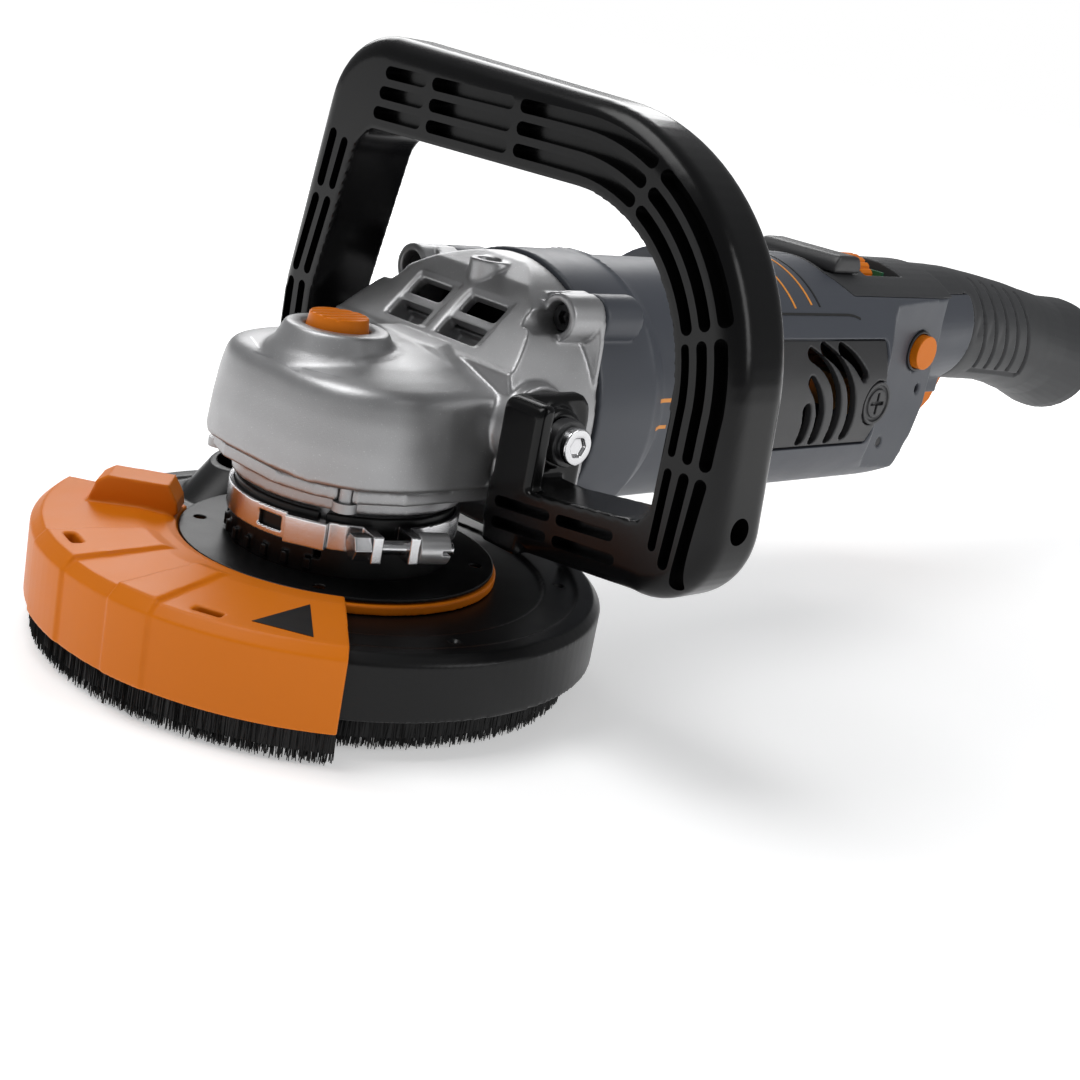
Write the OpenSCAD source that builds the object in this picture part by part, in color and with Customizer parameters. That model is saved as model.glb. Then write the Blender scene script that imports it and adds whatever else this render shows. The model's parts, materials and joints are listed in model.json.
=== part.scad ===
// Hand-held concrete grinder with dust shroud, opening edge gate and D-handle.
// Millimetres. The spindle axis is Z, brush tips stand on z = 0, the rear grip points to +X.
// -Y is the operator's left side, where the grip's lock-on button is.

/* [Dust shroud] */
// outer radius of the shroud skirt
skirt_r = 79.6; // [70:0.1:95]
// outer radius of the edge gate skirt
gate_r = 87.1; // [80:0.1:100]
// half angle covered by the edge gate
gate_half = 54; // [40:1:70]
// half angle left open in the shroud skirt
open_half = 51; // [35:1:65]
// height of the brush rings above the work surface
brush_h = 12; // [8:0.5:16]

/* [Cup wheel] */
// outer radius of the diamond cup wheel
wheel_r = 63; // [50:0.5:66]
// height of the grinding face above the brush tips
wheel_z = 1.5; // [0:0.5:5]
// number of diamond segments in each ring
segments = 10; // [6:1:16]

/* [Motor] */
// height of the motor axis above the work surface
motor_z = 80; // [70:0.5:90]
// outer radius of the motor tube
motor_r = 39.5; // [36:0.5:44]

/* [D-handle] */
// front face of the D-handle
handle_x = 12; // [8:0.5:16]
// depth of the D-handle from front to back
handle_depth = 23; // [18:0.5:28]
// height of the pivot bolts
pivot_z = 78.4; // [74:0.1:84]
// distance of the pivot bolts behind the spindle
pivot_x = 27.6; // [24:0.1:32]

/* [Show] */
// sub-part to draw, or all of them

/* [Hidden] */
$fn = 64;
grey_cast = [0.68, 0.69, 0.70];
slate = [0.25, 0.27, 0.31];
dark = [0.16, 0.16, 0.17];
black = [0.07, 0.07, 0.07];
orange = [0.88, 0.46, 0.12];
steel = [0.75, 0.76, 0.78];
copper = [0.72, 0.40, 0.22];
brass_c = [0.80, 0.66, 0.35];

function arc(cx, cy, r, a0, a1, n = 12) =
    [for (i = [0 : n]) let (a = a0 + (a1 - a0) * i / n) [cx + r * cos(a), cy + r * sin(a)]];

// ---- helpers ----
module along_x(x, y = 0, z = 0) translate([x, y, z]) rotate([0, 90, 0]) rotate([0, 0, 25])
    children();
module along_y(x, y, z) translate([x, y, z]) rotate([-90, 0, 0]) children();
// tube between two heights
module ring(r1, r0, h) difference() {
    cylinder(r = r1, h = h);
    translate([0, 0, -1]) cylinder(r = r0, h = h + 2);
}
// flat ring sector between two angles
module sector(r1, r0, h, a0, a1) rotate([0, 0, a0]) rotate_extrude(angle = a1 - a0)
    translate([r0, 0]) square([r1 - r0, h]);
// extrude an XZ outline across Y
module side_cut(pts, y0, y1) translate([0, y1, 0]) rotate([90, 0, 0])
    linear_extrude(y1 - y0) polygon(pts);
// extrude a YZ outline along X
module front_cut(pts, x0, x1) translate([x0, 0, 0]) rotate([90, 0, 90])
    linear_extrude(x1 - x0) polygon(pts);
// socket head screw, head above z = 0, shank below
module screw(d, l, head_r, head_h, hex = 4) {
    difference() {
        cylinder(r = head_r, h = head_h, $fn = 32);
        translate([0, 0, head_h * 0.4]) cylinder(r = hex / 2, h = head_h, $fn = 6);
    }
    translate([0, 0, -l]) cylinder(d = d, h = l + 0.01, $fn = 24);
}

// ---- gear head ----
flange_pts = [[32.5, 107.8], [-32.5, 107.8], [32.5, 46.2], [-32.5, 46.2]];
boss_x = 41.6;
button_x = -12.1;

module head_outer() intersection() {
    translate([0, 0, 60]) linear_extrude(40) polygon([[-38, -13], [-34, -24], [-25, -33],
        [-12, -38.5], [30, -40], [45, -41.5], [45, 41.5], [30, 40], [-12, 38.5],
        [-25, 33], [-34, 24], [-38, 13]]);
    side_cut([[-35.5, 60], [-38, 80], [-34, 86], [-26, 90.5], [-2, 93], [24, 95], [45, 95],
        [45, 60]], -45, 45);
    front_cut([[-39, 60], [-41, 70], [-41, 80], [-33, 87.5], [-24, 91], [-10, 95], [10, 95],
        [24, 91], [33, 87.5], [41, 80], [41, 70], [39, 60]], -40, 46);
}
module ramp_outer() intersection() {
    along_x(18, 0, 77) cylinder(r = 42.5, h = 35.7);
    side_cut([[18, 62], [20, 60], [39.3, 60], [39.3, 46], [46, 38], [53.7, 34], [53.7, 119.6], [47, 118.5],
        [39, 114], [20, 94], [18, 93]], -45, 45);
}
module gear_housing() color(grey_cast) difference() {
    union() {
        head_outer();
        ramp_outer();
        for (p = flange_pts) along_x(p[1] > 80 ? 40 : 44, p[0], p[1])
            cylinder(r = 7, h = p[1] > 80 ? 13.5 : 9.5, $fn = 32);
        translate([button_x, 0, 90]) cylinder(r1 = 18, r2 = 14.5, h = 7);
        translate([boss_x, 0, 100]) cylinder(r = 6, h = 17.4);
        translate([boss_x - 2, -12, 100]) cube([4, 12, 14.5]);
        for (s = [-1, 1]) along_y(pivot_x, s > 0 ? 36 : -44.6, pivot_z)
            cylinder(r = 13, h = 8.6);
    }
    // gear chamber
    translate([0, 0, 59]) cylinder(r = 31, h = 25);
    translate([0, 0, 59]) cylinder(r = 6, h = 30);
    // pinion tunnel, front bearing seat and fan space
    along_x(0, 0, motor_z) cylinder(r = 12, h = 36);
    along_x(34, 0, motor_z) cylinder(r = 14, h = 9);
    along_x(46, 0, motor_z) cylinder(r = 35, h = 9);
    along_x(42, 0, motor_z) cylinder(r = 20, h = 9);
    // air duct behind the sloping grille
    intersection() {
        along_x(24, 0, 77) cylinder(r = 38.4, h = 28);
        side_cut([[29, 97], [38, 107], [46, 114], [51, 114], [51, 97]], -22, 22);
    }
    // grille recess and four windows
    for (s = [-1, 1]) side_cut([[20.4, 97.6], [32.6, 110.4], [34.6, 108.4], [22.4, 95.6]],
        s > 0 ? 1.5 : -21, s > 0 ? 21 : -1.5);
    for (y = [-19, -8.5, 5.5, 14]) for (k = [0, 1]) translate([21.5 + 6.5 * k, y, 96 + 6.8 * k])
        rotate([0, 43.5 - 90, 0]) translate([0.6, 0, -9]) cube([6.5, k == 1 ? 5 : 6, 9.5]);
    // lock button guide
    translate([button_x, 0, 80]) cylinder(r = 3.1, h = 20, $fn = 32);
    translate([button_x, 0, 91]) cylinder(r = 9.3, h = 10);
    // accessory thread on top
    translate([boss_x, 0, 105.4]) cylinder(r = 3.4, h = 14, $fn = 32);
    // handle bolt threads
    for (s = [-1, 1]) along_y(pivot_x, s > 0 ? 34 : -45, pivot_z)
        cylinder(r = 4.05, h = 11, $fn = 32);
    // flange screw holes and pockets
    for (p = flange_pts) along_x(30, p[0], p[1]) {
        cylinder(r = 2.2, h = 30, $fn = 24);
        cylinder(r = 4.6, h = 16.5, $fn = 24);
    }
    // cover screw holes
    for (s = [-1, 1]) for (x = [-25, 31]) translate([x, s * (x < 0 ? 29.5 : 33), 59])
        cylinder(r = 2.05, h = 13, $fn = 24);
    // rotation arrows engraved in the deck
    for (s = [-1, 1]) translate([-23, s * 14, 90.9]) rotate([0, 6, 12 * s]) cube([9, 0.8, 2]);
}
module gearbox_cover() color(grey_cast) difference() {
    union() {
        translate([0, 0, 56]) linear_extrude(4) polygon([[-36, -12], [-32, -23], [-24, -33],
            [-11, -38], [30, -39], [39, -36], [39, 36], [30, 39], [-11, 38], [-24, 33],
            [-32, 23], [-36, 12]]);
        translate([0, 0, 51.5]) cylinder(r = 33.6, h = 4.6);
        translate([0, 0, 38]) cylinder(r = 29.2, h = 14);
    }
    translate([0, 0, 37]) cylinder(r = 10, h = 24);
    translate([0, 0, 42]) cylinder(r = 17.5, h = 11);
    translate([0, 0, 53]) cylinder(r = 14, h = 8);
    translate([0, 0, 57.5]) cylinder(r = 29, h = 3);
    for (s = [-1, 1]) for (x = [-25, 31]) translate([x, s * (x < 0 ? 29.5 : 33), 50])
        cylinder(r = 2.2, h = 12, $fn = 24);
}
module cover_screws() color(steel) for (s = [-1, 1]) for (x = [-25, 31])
    translate([x, s * (x < 0 ? 29.5 : 33), 56]) mirror([0, 0, 1]) translate([0, 0, 0])
        screw(4, 14, 3.4, 2.6, 3);
module flange_screws() color(dark) for (p = flange_pts) along_x(46.5, p[0], p[1])
    mirror([0, 0, 1]) screw(4, 24, 3.9, 4, 4);

// ---- spindle and gears ----
module spindle() color(steel) difference() {
    union() {
        translate([0, 0, 8]) cylinder(r = 7, h = 23);
        for (k = [0 : 4]) translate([0, 0, 9.5 + 2 * k]) cylinder(r1 = 7, r2 = 6.6, h = 0.9);
        translate([0, 0, 28]) cylinder(r = 9.6, h = 13.5);
        translate([0, 0, 41.4]) cylinder(r = 7.5, h = 12.6);
        translate([0, 0, 54]) cylinder(r = 9, h = 4);
        translate([0, 0, 57.9]) cylinder(r = 7.5, h = 18.1);
        translate([0, 0, 75.9]) cylinder(r = 4, h = 12);
    }
    for (s = [-1, 1]) translate([s * 8.6 - (s < 0 ? 4 : 0), -10, 31]) cube([4, 20, 6]);
    translate([0, 0, 7]) cylinder(r = 2.5, h = 3, $fn = 24);
}
module spindle_bearing() color(steel) translate([0, 0, 42]) difference() {
    cylinder(r = 17.5, h = 11);
    translate([0, 0, -1]) cylinder(r = 7.55, h = 13);
    for (z = [-0.1, 10.1]) translate([0, 0, z]) ring(14.6, 10.4, 1);
}
module needle_bearing() color(steel) translate([0, 0, 79.5]) ring(6, 4.05, 8.5);
module crown_gear() color(steel) difference() {
    union() {
        translate([0, 0, 60.5]) cylinder(r = 27, h = 8);
        translate([0, 0, 68.4]) cylinder(r1 = 27, r2 = 16, h = 2.6);
        translate([0, 0, 64]) cylinder(r = 16, h = 9);
    }
    translate([0, 0, 58]) cylinder(r = 7.5, h = 20);
    for (i = [0 : 36]) rotate([0, 0, i * 360 / 37]) translate([18, -0.9, 67.4]) cube([10, 1.8, 5]);
    for (i = [0 : 5]) rotate([0, 0, i * 60]) translate([12.1, 0, 66]) cylinder(r = 3.6, h = 9,
        $fn = 24);
}
module pinion() color(steel) difference() {
    along_x(17.5, 0, motor_z) cylinder(r1 = 8.6, r2 = 11, h = 9.5);
    along_x(16, 0, motor_z) cylinder(r = 4, h = 14);
    for (i = [0 : 10]) translate([0, 0, motor_z]) rotate([i * 360 / 11 + 12, 0, 0])
        translate([16, -1, 7.6]) cube([9, 2, 4]);
}
module lock_button() color(orange) {
    difference() {
        translate([button_x, 0, 95.6]) cylinder(r1 = 9, r2 = 8.2, h = 4.6);
        for (k = [-2 : 2]) translate([button_x - 8, k * 3 - 0.4, 99.7]) cube([16, 0.8, 1]);
    }
    translate([button_x, 0, 76]) cylinder(r = 2.9, h = 19.7, $fn = 32);
}
module lock_spring() color(steel) for (z = [91.3, 92.6, 93.9]) translate([button_x, 0, z])
    rotate_extrude() translate([4.6, 0.4]) circle(r = 0.4, $fn = 16);

// ---- motor ----
module armature_shaft() color(steel) {
    along_x(13, 0, motor_z) cylinder(r = 4, h = 20);
    along_x(28, 0, motor_z) cylinder(r = 6, h = 16);
    along_x(44, 0, motor_z) cylinder(r = 6.5, h = 175);
    along_x(218.9, 0, motor_z) cylinder(r = 4, h = 9);
}
module armature_core() color(grey_cast) difference() {
    along_x(98, 0, motor_z) cylinder(r = 20, h = 42);
    along_x(97, 0, motor_z) cylinder(r = 6.5, h = 44);
    for (i = [0 : 11]) translate([0, 0, motor_z]) rotate([i * 30, 0, 0])
        translate([97, -1.2, 15]) cube([44, 2.4, 6]);
}
module armature_windings() color(copper) {
    for (x = [88, 140]) difference() {
        along_x(x, 0, motor_z) cylinder(r1 = x < 100 ? 13 : 18.5, r2 = x < 100 ? 18.5 : 13, h = 10);
        along_x(x - 1, 0, motor_z) cylinder(r = 6.5, h = 12);
    }
    for (i = [0 : 11]) translate([0, 0, motor_z]) rotate([i * 30, 0, 0])
        translate([97, -1.1, 15.1]) cube([44, 2.2, 2.9]);
}
module commutator() color(copper) difference() {
    along_x(190, 0, motor_z) cylinder(r = 13, h = 20);
    along_x(189, 0, motor_z) cylinder(r = 6.5, h = 22);
    for (i = [0 : 23]) translate([0, 0, motor_z]) rotate([i * 15, 0, 0])
        translate([193, -0.3, 12]) cube([18, 0.6, 2]);
}
module cooling_fan() color(black) {
    difference() {
        union() {
            along_x(62, 0, motor_z) cylinder(r = 33, h = 2);
            along_x(62, 0, motor_z) cylinder(r = 11, h = 16);
        }
        along_x(60, 0, motor_z) cylinder(r = 6.5, h = 20);
    }
    for (i = [0 : 14]) translate([0, 0, motor_z]) rotate([i * 24, 0, 0]) translate([63.9, 0, 16])
        rotate([18, 0, 0]) cube([12, 1.5, 16]);
}
module front_bearing() color(steel) along_x(34, 0, motor_z) difference() {
    cylinder(r = 14, h = 8);
    translate([0, 0, -1]) cylinder(r = 6.05, h = 10);
    for (z = [-0.1, 7.3]) translate([0, 0, z]) ring(11.6, 8.2, 0.8);
}
module rear_bearing() color(steel) along_x(219.2, 0, motor_z) difference() {
    cylinder(r = 11, h = 7);
    translate([0, 0, -1]) cylinder(r = 4.05, h = 9);
    for (z = [-0.1, 6.3]) translate([0, 0, z]) ring(9, 6.2, 0.8);
}
module stator() color(grey_cast) difference() {
    along_x(96, 0, motor_z) cylinder(r = 35.5, h = 46);
    along_x(95, 0, motor_z) cylinder(r = 20.6, h = 48);
    for (s = [-1, 1]) translate([95, -13, motor_z + (s > 0 ? 18 : -31)]) cube([48, 26, 13]);
}
module field_coils() color(copper) for (s = [-1, 1]) difference() {
    translate([90, -12.5, motor_z + (s > 0 ? 23 : -30.5)]) cube([58, 25, 7.5]);
    translate([98, -6, motor_z + (s > 0 ? 20 : -32)]) cube([42, 12, 12]);
}
module motor_housing() color(slate) difference() {
    union() {
        along_x(54, 0, 77.5) cylinder(r = 43.2, h = 25);
        for (p = flange_pts) along_x(54, p[0], p[1]) cylinder(r = 7, h = 16, $fn = 32);
        along_x(78.9, 0, 77.5 + 0.8) cylinder(r1 = 43.2, r2 = 40, h = 7);
        along_x(54, 0, motor_z) cylinder(r = motor_r, h = 73);
    }
    along_x(53, 0, motor_z) cylinder(r = 36, h = 40);
    along_x(92, 0, motor_z) cylinder(r = 35.5, h = 50.5);
    along_x(120, 0, motor_z) cylinder(r = 34, h = 10);
    for (p = flange_pts) along_x(53, p[0], p[1]) cylinder(r = 2, h = 18, $fn = 24);
}

// ---- rear housing, split at y = 0 ----
module barrel(r, x0, x1) along_x(x0, 0, 82) cylinder(r = r, h = x1 - x0);
// round bar from one point, tilted down towards the rear
module bar(x, z, tilt, r1, r2, h) translate([x, 0, z]) rotate([0, tilt, 0]) rotate([0, 0, 25])
    cylinder(r1 = r1, r2 = r2, h = h);
// sections of the rear grip: distance, height, tilt and radius
grip_at = [[241.5, 98, 88, 25.5], [266, 98.9, 90, 24.2], [289.5, 99.7, 94, 23],
    [312, 98.4, 95, 22], [335, 96.4, 98, 21.2], [352, 93.6, 100, 21.2], [370.5, 90.2, 100, 21.9],
    [383, 88, 100, 23.6], [390, 86.8, 100, 24.6], [396, 85.7, 100, 24.6]];
module grip_core(d) for (i = [0 : len(grip_at) - (d > 0 ? 3 : 2)]) hull() for (g = [grip_at[i], grip_at[i + 1]])
    translate([g[0], 0, g[1]]) rotate([0, g[2], 0]) cylinder(r = g[3] - d, h = 0.4, $fn = 40);
// one half of the rear shell, s is the side it lies on
module rear_outer(s) {
    intersection() {
        barrel(42, 127.3, 262);
        side_cut([[127, 38], [222, 38], [236, 42], [248, 50], [256, 61], [260, 74], [260, 125],
            [127, 125]], s > 0 ? 0 : -45, s > 0 ? 45 : 0);
        translate([0, 0, 36]) linear_extrude(92) polygon([[127, s * -9], [127, s * 43],
            [200, s * 43], [208, s * 39], [216, s * 32], [222, s * 28.5], [262, s * 25],
            [262, s * -9]]);
    }
    intersection() {
        union() {
            bar(214, 98, 90, 26.5, 25.5, 28);
            bar(241.5, 98, 88, 25.5, 23, 48);
        }
        translate([214, s > 0 ? 0 : -30, 60]) cube([75, 30, 70]);
    }
    intersection() {
        bar(260, 98.7, 90, 17.8, 17.8, 50);
        translate([260, s > 0 ? 0 : -30, 60]) cube([60, 30, 70]);
    }
    translate([252, s > 0 ? 0 : -13, 74]) cube([36, 13, 12]);
}
// everything carved out of the rear housing
module rear_voids() {
    along_x(120, 0, motor_z) cylinder(r = 35, h = 92);
    along_x(120, 0, motor_z) cylinder(r = 35.7, h = 22.6);
    along_x(211, 0, motor_z) cylinder(r = 30, h = 6);
    along_x(216, 0, motor_z) cylinder(r = 11, h = 10.2);
    along_x(216, 0, motor_z) cylinder(r = 7, h = 14);
    // side openings behind the vent panels
    for (s = [-1, 1]) translate([140, s > 0 ? 30 : -46, 64]) cube([66, 16, 38]);
    // brush cap bores
    for (s = [-1, 1]) along_y(202, s > 0 ? 30 : -46, motor_z) cylinder(r = 8, h = 16);
    // switch bay, trigger slot, lock-on bore and wiring duct
    translate([234, -14, 88]) cube([60, 28, 26]);
    translate([262, -7, 70]) cube([42, 14, 20]);
    along_y(245, -46, 95) cylinder(r = 7.6, h = 34);
    along_x(290, 0, 97) cylinder(r = 6, h = 40);
    along_y(298, -9.3, 83) cylinder(r = 1.6, h = 18.6, $fn = 24);
    bar(330, 96.9, 100, 5.2, 5.2, 90);
    // speed dial pocket in the top and board space
    translate([214, -16, 111]) cube([24, 32, 15]);
    translate([220, -13, 100]) cube([9, 26, 14]);
    // foot groove
    translate([190, -18.2, 120.8]) cube([20, 36.4, 8]);
}
// region of the soft top skin and rear grip
module skin_zone() {
    side_cut([[196, 114.8], [288, 114.8], [288, 70], [420, 50], [420, 130], [188, 130],
        [188, 121]], -50, 50);
}
module rear_half(s) color(slate) difference() {
    rear_outer(s);
    rear_voids();
    difference() {
        skin_zone();
        bar(250, 98.7, 90, 17.8, 17.8, 60);
    }
    for (x = [232, 252]) along_y(x, -50, x == 232 ? 60 : 80) cylinder(r = 1.8, h = 100, $fn = 24);
}
module rear_housing_left() rear_half(-1);
module rear_housing_right() rear_half(1);
module grip_overmould() color(dark) difference() {
    union() {
        grip_core(0);
        intersection() {
            barrel(42, 186, 262);
            translate([0, 0, 36]) linear_extrude(92) polygon([[180, -43], [200, -43], [208, -39],
                [216, -32], [222, -28.5], [262, -25], [262, 25], [222, 28.5], [216, 32],
                [208, 39], [200, 43], [180, 43]]);
        }
    }
    difference() {
        translate([150, -60, 30]) cube([280, 120, 110]);
        skin_zone();
    }
    grip_core(5);
    bar(250, 98.7, 90, 17.8, 17.8, 60);
    rear_voids();
    // five grip grooves on each side
    for (i = [0 : 4]) for (s = [-1, 1]) translate([295 + 10 * i, s * 30, 107 - 1.4 * i])
        rotate([0, 12, 0]) translate([-0.6, -9.6, -9]) cube([1.2, 19.2, 34]);
}
// louvred panel over each rear side opening
module vent_panel(s) color(dark) difference() {
    intersection() {
        barrel(41.6, 140.3, 205.7);
        translate([140.3, s > 0 ? 30 : -46, 64.3]) cube([65.4, 16, 37.4]);
    }
    barrel(38.4, 130, 210);
    along_y(202, s > 0 ? 30 : -46, motor_z) cylinder(r = 8.1, h = 16);
    intersection() {
        for (i = [0 : 4]) translate([163 + 7.6 * i, s > 0 ? 30 : -46, 80]) rotate([0, -38, 0])
            translate([-1.6, 0, -30]) cube([3.2, 16, 60]);
        translate([160, -60, 67]) cube([34, 120, 32]);
    }
}
module vent_panel_left() vent_panel(-1);
module vent_panel_right() vent_panel(1);
module brush_holders() color(brass_c) for (s = [-1, 1]) difference() {
    translate([197, s > 0 ? 15 : -37, motor_z - 6]) cube([10, 22, 12]);
    translate([199, s > 0 ? 14 : -38, motor_z - 4]) cube([6, 24, 8]);
}
module carbon_brushes() color(black) for (s = [-1, 1])
    translate([199.1, s > 0 ? 13.1 : -27.1, motor_z - 3.9]) cube([5.8, 14, 7.8]);
module brush_caps() color(black) for (s = [-1, 1]) difference() {
    along_y(202, s > 0 ? 37 : -41.5, motor_z) cylinder(r = 7.8, h = 4.5);
    along_y(202, s > 0 ? 40.8 : -42, motor_z) ring(6.6, 5.2, 1.2);
    translate([198, s > 0 ? 40.3 : -42, motor_z - 0.6]) cube([8, 1.7, 1.2]);
    translate([201.4, s > 0 ? 40.3 : -42, motor_z - 4]) cube([1.2, 1.7, 8]);
}
module stand_foot() color(dark) difference() {
    side_cut([[192, 121], [208, 121], [208, 124.5], [206, 127.5], [194, 127.5], [192, 124.5]],
        -18, 18);
    for (k = [0 : 3]) translate([194.5 + 3.2 * k, -16, 127]) cube([1.2, 32, 1]);
}
module speed_dial() color(orange) difference() {
    along_x(221, 0, 113.5) cylinder(r = 12, h = 7);
    along_x(220, 0, 113.5) cylinder(r = 2.05, h = 9, $fn = 32);
    for (i = [0 : 23]) translate([0, 0, 113.5]) rotate([i * 15, 0, 0])
        translate([220, -0.5, 11.4]) cube([9, 1, 1]);
}
module control_board() color([0.1, 0.35, 0.2]) {
    translate([230.5, -12, 113]) cube([1.6, 24, 8]);
    along_x(216, 0, 113.5) cylinder(r = 2, h = 14.6, $fn = 32);
    translate([214.5, -5, 112.2]) cube([1.6, 10, 5]);
}
module switch_body() color(black) {
    translate([236, -10, 90]) cube([48, 20, 22]);
    translate([284, -6, 94]) cube([8, 12, 10]);
}
module trigger() color(orange) {
    side_cut([[266, 83], [268, 66], [276, 61.5], [288, 62.5], [296, 69], [301, 79], [301, 86],
        [290, 86]], -6.6, 6.6);
    along_y(298, -9, 83) cylinder(r = 1.5, h = 18, $fn = 24);
}
module lock_on_button() color(orange) {
    along_y(245, -30.5, 95) cylinder(r = 6.4, h = 8);
    along_y(245, -23, 95) cylinder(r = 3, h = 10, $fn = 32);
}
module lock_on_ring() color(dark) along_y(245, -27.6, 95) difference() {
    cylinder(r = 7.6, h = 3.6);
    translate([0, 0, -1]) cylinder(r = 6.7, h = 6);
}
module housing_screws() color(steel) for (x = [232, 252])
    along_y(x, x == 232 ? -27 : -24, x == 232 ? 60 : 80) cylinder(r = 1.8, h = 48, $fn = 24);

// ---- D-handle ----
far_y = 61;
handle_outer = concat(
    [[58.5, 64], [far_y, 70], [far_y, 98]],
    arc(27, 150.5, 24.5, 8, 92, 10),
    arc(-52, 102, 69.5, 92, 178, 20),
    arc(-101.5, 74, 22, 180, 275, 10),
    [[-45, 46.5], [-45, 66]]);
handle_inner = concat(
    [[45, 40], [45, 95], [43.5, 101.5]],
    arc(24, 137.5, 11, 8, 92, 8),
    arc(-55, 101.5, 47, 92, 178, 20),
    arc(-95.5, 78, 7, 180, 275, 6),
    [[-60, 66], [-45, 66], [-45, 40]]);
module handle_slots() {
    // three rows along the top bar
    for (r = [0 : 2]) for (k = [0 : 1]) translate([handle_x - 1, -27 + 36 * k, 152.3 + 6.2 * r])
        cube([4, 32, 3.1]);
    // three rows round the large corner
    for (r = [0 : 2]) for (k = [0 : 2]) translate([handle_x - 1, -53.5, 101.7]) rotate([90, 0, 90])
        rotate([0, 0, 96 + 28 * k]) rotate_extrude(angle = 24)
            translate([50.4 + 6 * r, 0]) square([3, 4]);
    // two rows down the near leg, the far leg and along the lower arm
    for (r = [0 : 1]) translate([handle_x - 1, -115 + 6.2 * r, 72]) cube([4, 3.1, 24]);
    for (r = [0 : 1]) for (k = [0 : 1]) translate([handle_x - 1, 46.5 + 6.2 * r - 3 * k,
        95 + 26 * k]) rotate([8, 0, 0]) cube([4, 3.1, 22]);
    for (r = [0 : 1]) for (k = [0 : 1]) translate([handle_x - 1, -98 + 22 * k, 55.5 + 5.2 * r])
        cube([4, 18, 2.8]);
}
module d_handle() color(black) difference() {
    union() {
        difference() {
            front_cut(handle_outer, handle_x, handle_x + handle_depth);
            front_cut(handle_inner, handle_x - 1, handle_x + handle_depth + 1);
        }
        // left bracket: plate, front wall and floor round the bolt recess
        side_cut([[12, 47], [43, 56], [43, 86], [39, 90], [17, 90], [12, 88]], -50, -45);
        side_cut([[12, 47], [17, 47], [17, 90], [12, 88]], -60, -45);
        side_cut([[12, 47], [43, 56], [43, 60], [12, 60]], -60, -45);
        along_y(pivot_x, -54, pivot_z) cylinder(r = 9, h = 6);
        // right bracket
        side_cut([[12, 66], [16, 62], [38, 62], [43, 68], [43, 88], [38, 94], [12, 96]], 45, 58.5);
    }
    handle_slots();
    for (s = [-1, 1]) along_y(pivot_x, s > 0 ? 44 : -60, pivot_z) cylinder(r = 4.2, h = 20);
    along_y(pivot_x, 58.5, pivot_z) cylinder(r = 7.2, h = 5);
    // lanyard hole in the lower outer corner
    along_y(23, -126, 76) cylinder(r = 3, h = 12, $fn = 32);
}
module handle_bolts() color(steel) for (s = [-1, 1]) {
    difference() {
        along_y(pivot_x, s > 0 ? 59.6 : -61.1, pivot_z) cylinder(r = 5.3, h = s > 0 ? 1.9 : 3.1);
        along_y(pivot_x, s > 0 ? 60.4 : -61.6, pivot_z) cylinder(r = 3, h = 1.4, $fn = 6);
    }
    along_y(pivot_x, s > 0 ? 36 : -59, pivot_z) cylinder(r = 4, h = s > 0 ? 24 : 23);
}
module handle_spacers() color(dark) for (s = [-1, 1]) along_y(pivot_x, s > 0 ? 58.8 : -58,
    pivot_z) difference() {
        cylinder(r = 6.8, h = s > 0 ? 0.8 : 3.7);
        translate([0, 0, -1]) cylinder(r = 4.05, h = 8);
    }

// ---- dust shroud ----
port_d = [0.8, 0.25, 0.5454];
port_at = [14, 62, 29.4];
module port_place() translate(port_at) rotate([0, acos(port_d[2]), atan2(port_d[1], port_d[0])])
    children();
module shroud_cover() color(black) difference() {
    union() {
        difference() {
            rotate_extrude($fn = 96) polygon([[28, 24.2], [73.4, 24.2], [75.6, 22], [75.6, 10.8],
                [skirt_r, 10.8], [skirt_r, 26.6], [76.9, 29], [72.3, 29], [71.7, 28.2],
                [62.2, 28.2], [61.8, 27.2], [28, 27.2]]);
            // open edge for grinding up to a wall
            translate([0, 0, 5]) sector(90, 66, 19, 180 - open_half, 180 + open_half);
        }
        // saddle under the dust port
        difference() {
            intersection() {
                port_place() translate([0, 0, -34]) cylinder(r = 15.4, h = 46);
                translate([-40, 30, 24.2]) cube([110, 60, 12]);
            }
            translate([0, 0, 20]) cylinder(r = 48.6, h = 30);
        }
    }
    port_place() translate([0, 0, -40]) cylinder(r = 13.6, h = 80);
    port_place() translate([0, 0, 12]) cylinder(r = 16.65, h = 60);
    translate([0, 0, 20]) cylinder(r = 32.25, h = 12);
    for (a = [0 : 60 : 300]) rotate([0, 0, a + 20]) translate([67, 0, 27.2]) cylinder(r = 1.6,
        h = 3, $fn = 24);
}
module shroud_neck() color(black) difference() {
    union() {
        translate([0, 0, 24.2]) ring(32.2, 29.5, 25.8);
        for (a = [120 : 12 : 216]) rotate([0, 0, a]) translate([32, -1, 33]) cube([1.6, 2, 3.6]);
    }
    for (a = [40, 130, 220, 310]) rotate([0, 0, a]) translate([26, -1, 36.5]) cube([10, 2, 15]);
}
module shroud_disc() color(black) difference() {
    union() {
        translate([0, 0, 30.6]) cylinder(r = 46.4, h = 1.3);
        translate([0, 0, 27.2]) cylinder(r = 35.6, h = 3.5);
    }
    translate([0, 0, 26]) cylinder(r = 32.2, h = 8);
    for (a = [45 : 90 : 315]) rotate([0, 0, a]) translate([41, 0, 30]) cylinder(r = 1.8, h = 3,
        $fn = 24);
}
module shroud_brush() color(black) sector(73.3, 69.5, 24.2, -(180 - open_half), 180 - open_half);
module gate_stop() color(dark) rotate([0, 0, -23]) translate([74.5, 0, 29]) {
    cylinder(r = 2.4, h = 5, $fn = 32);
}
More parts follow.
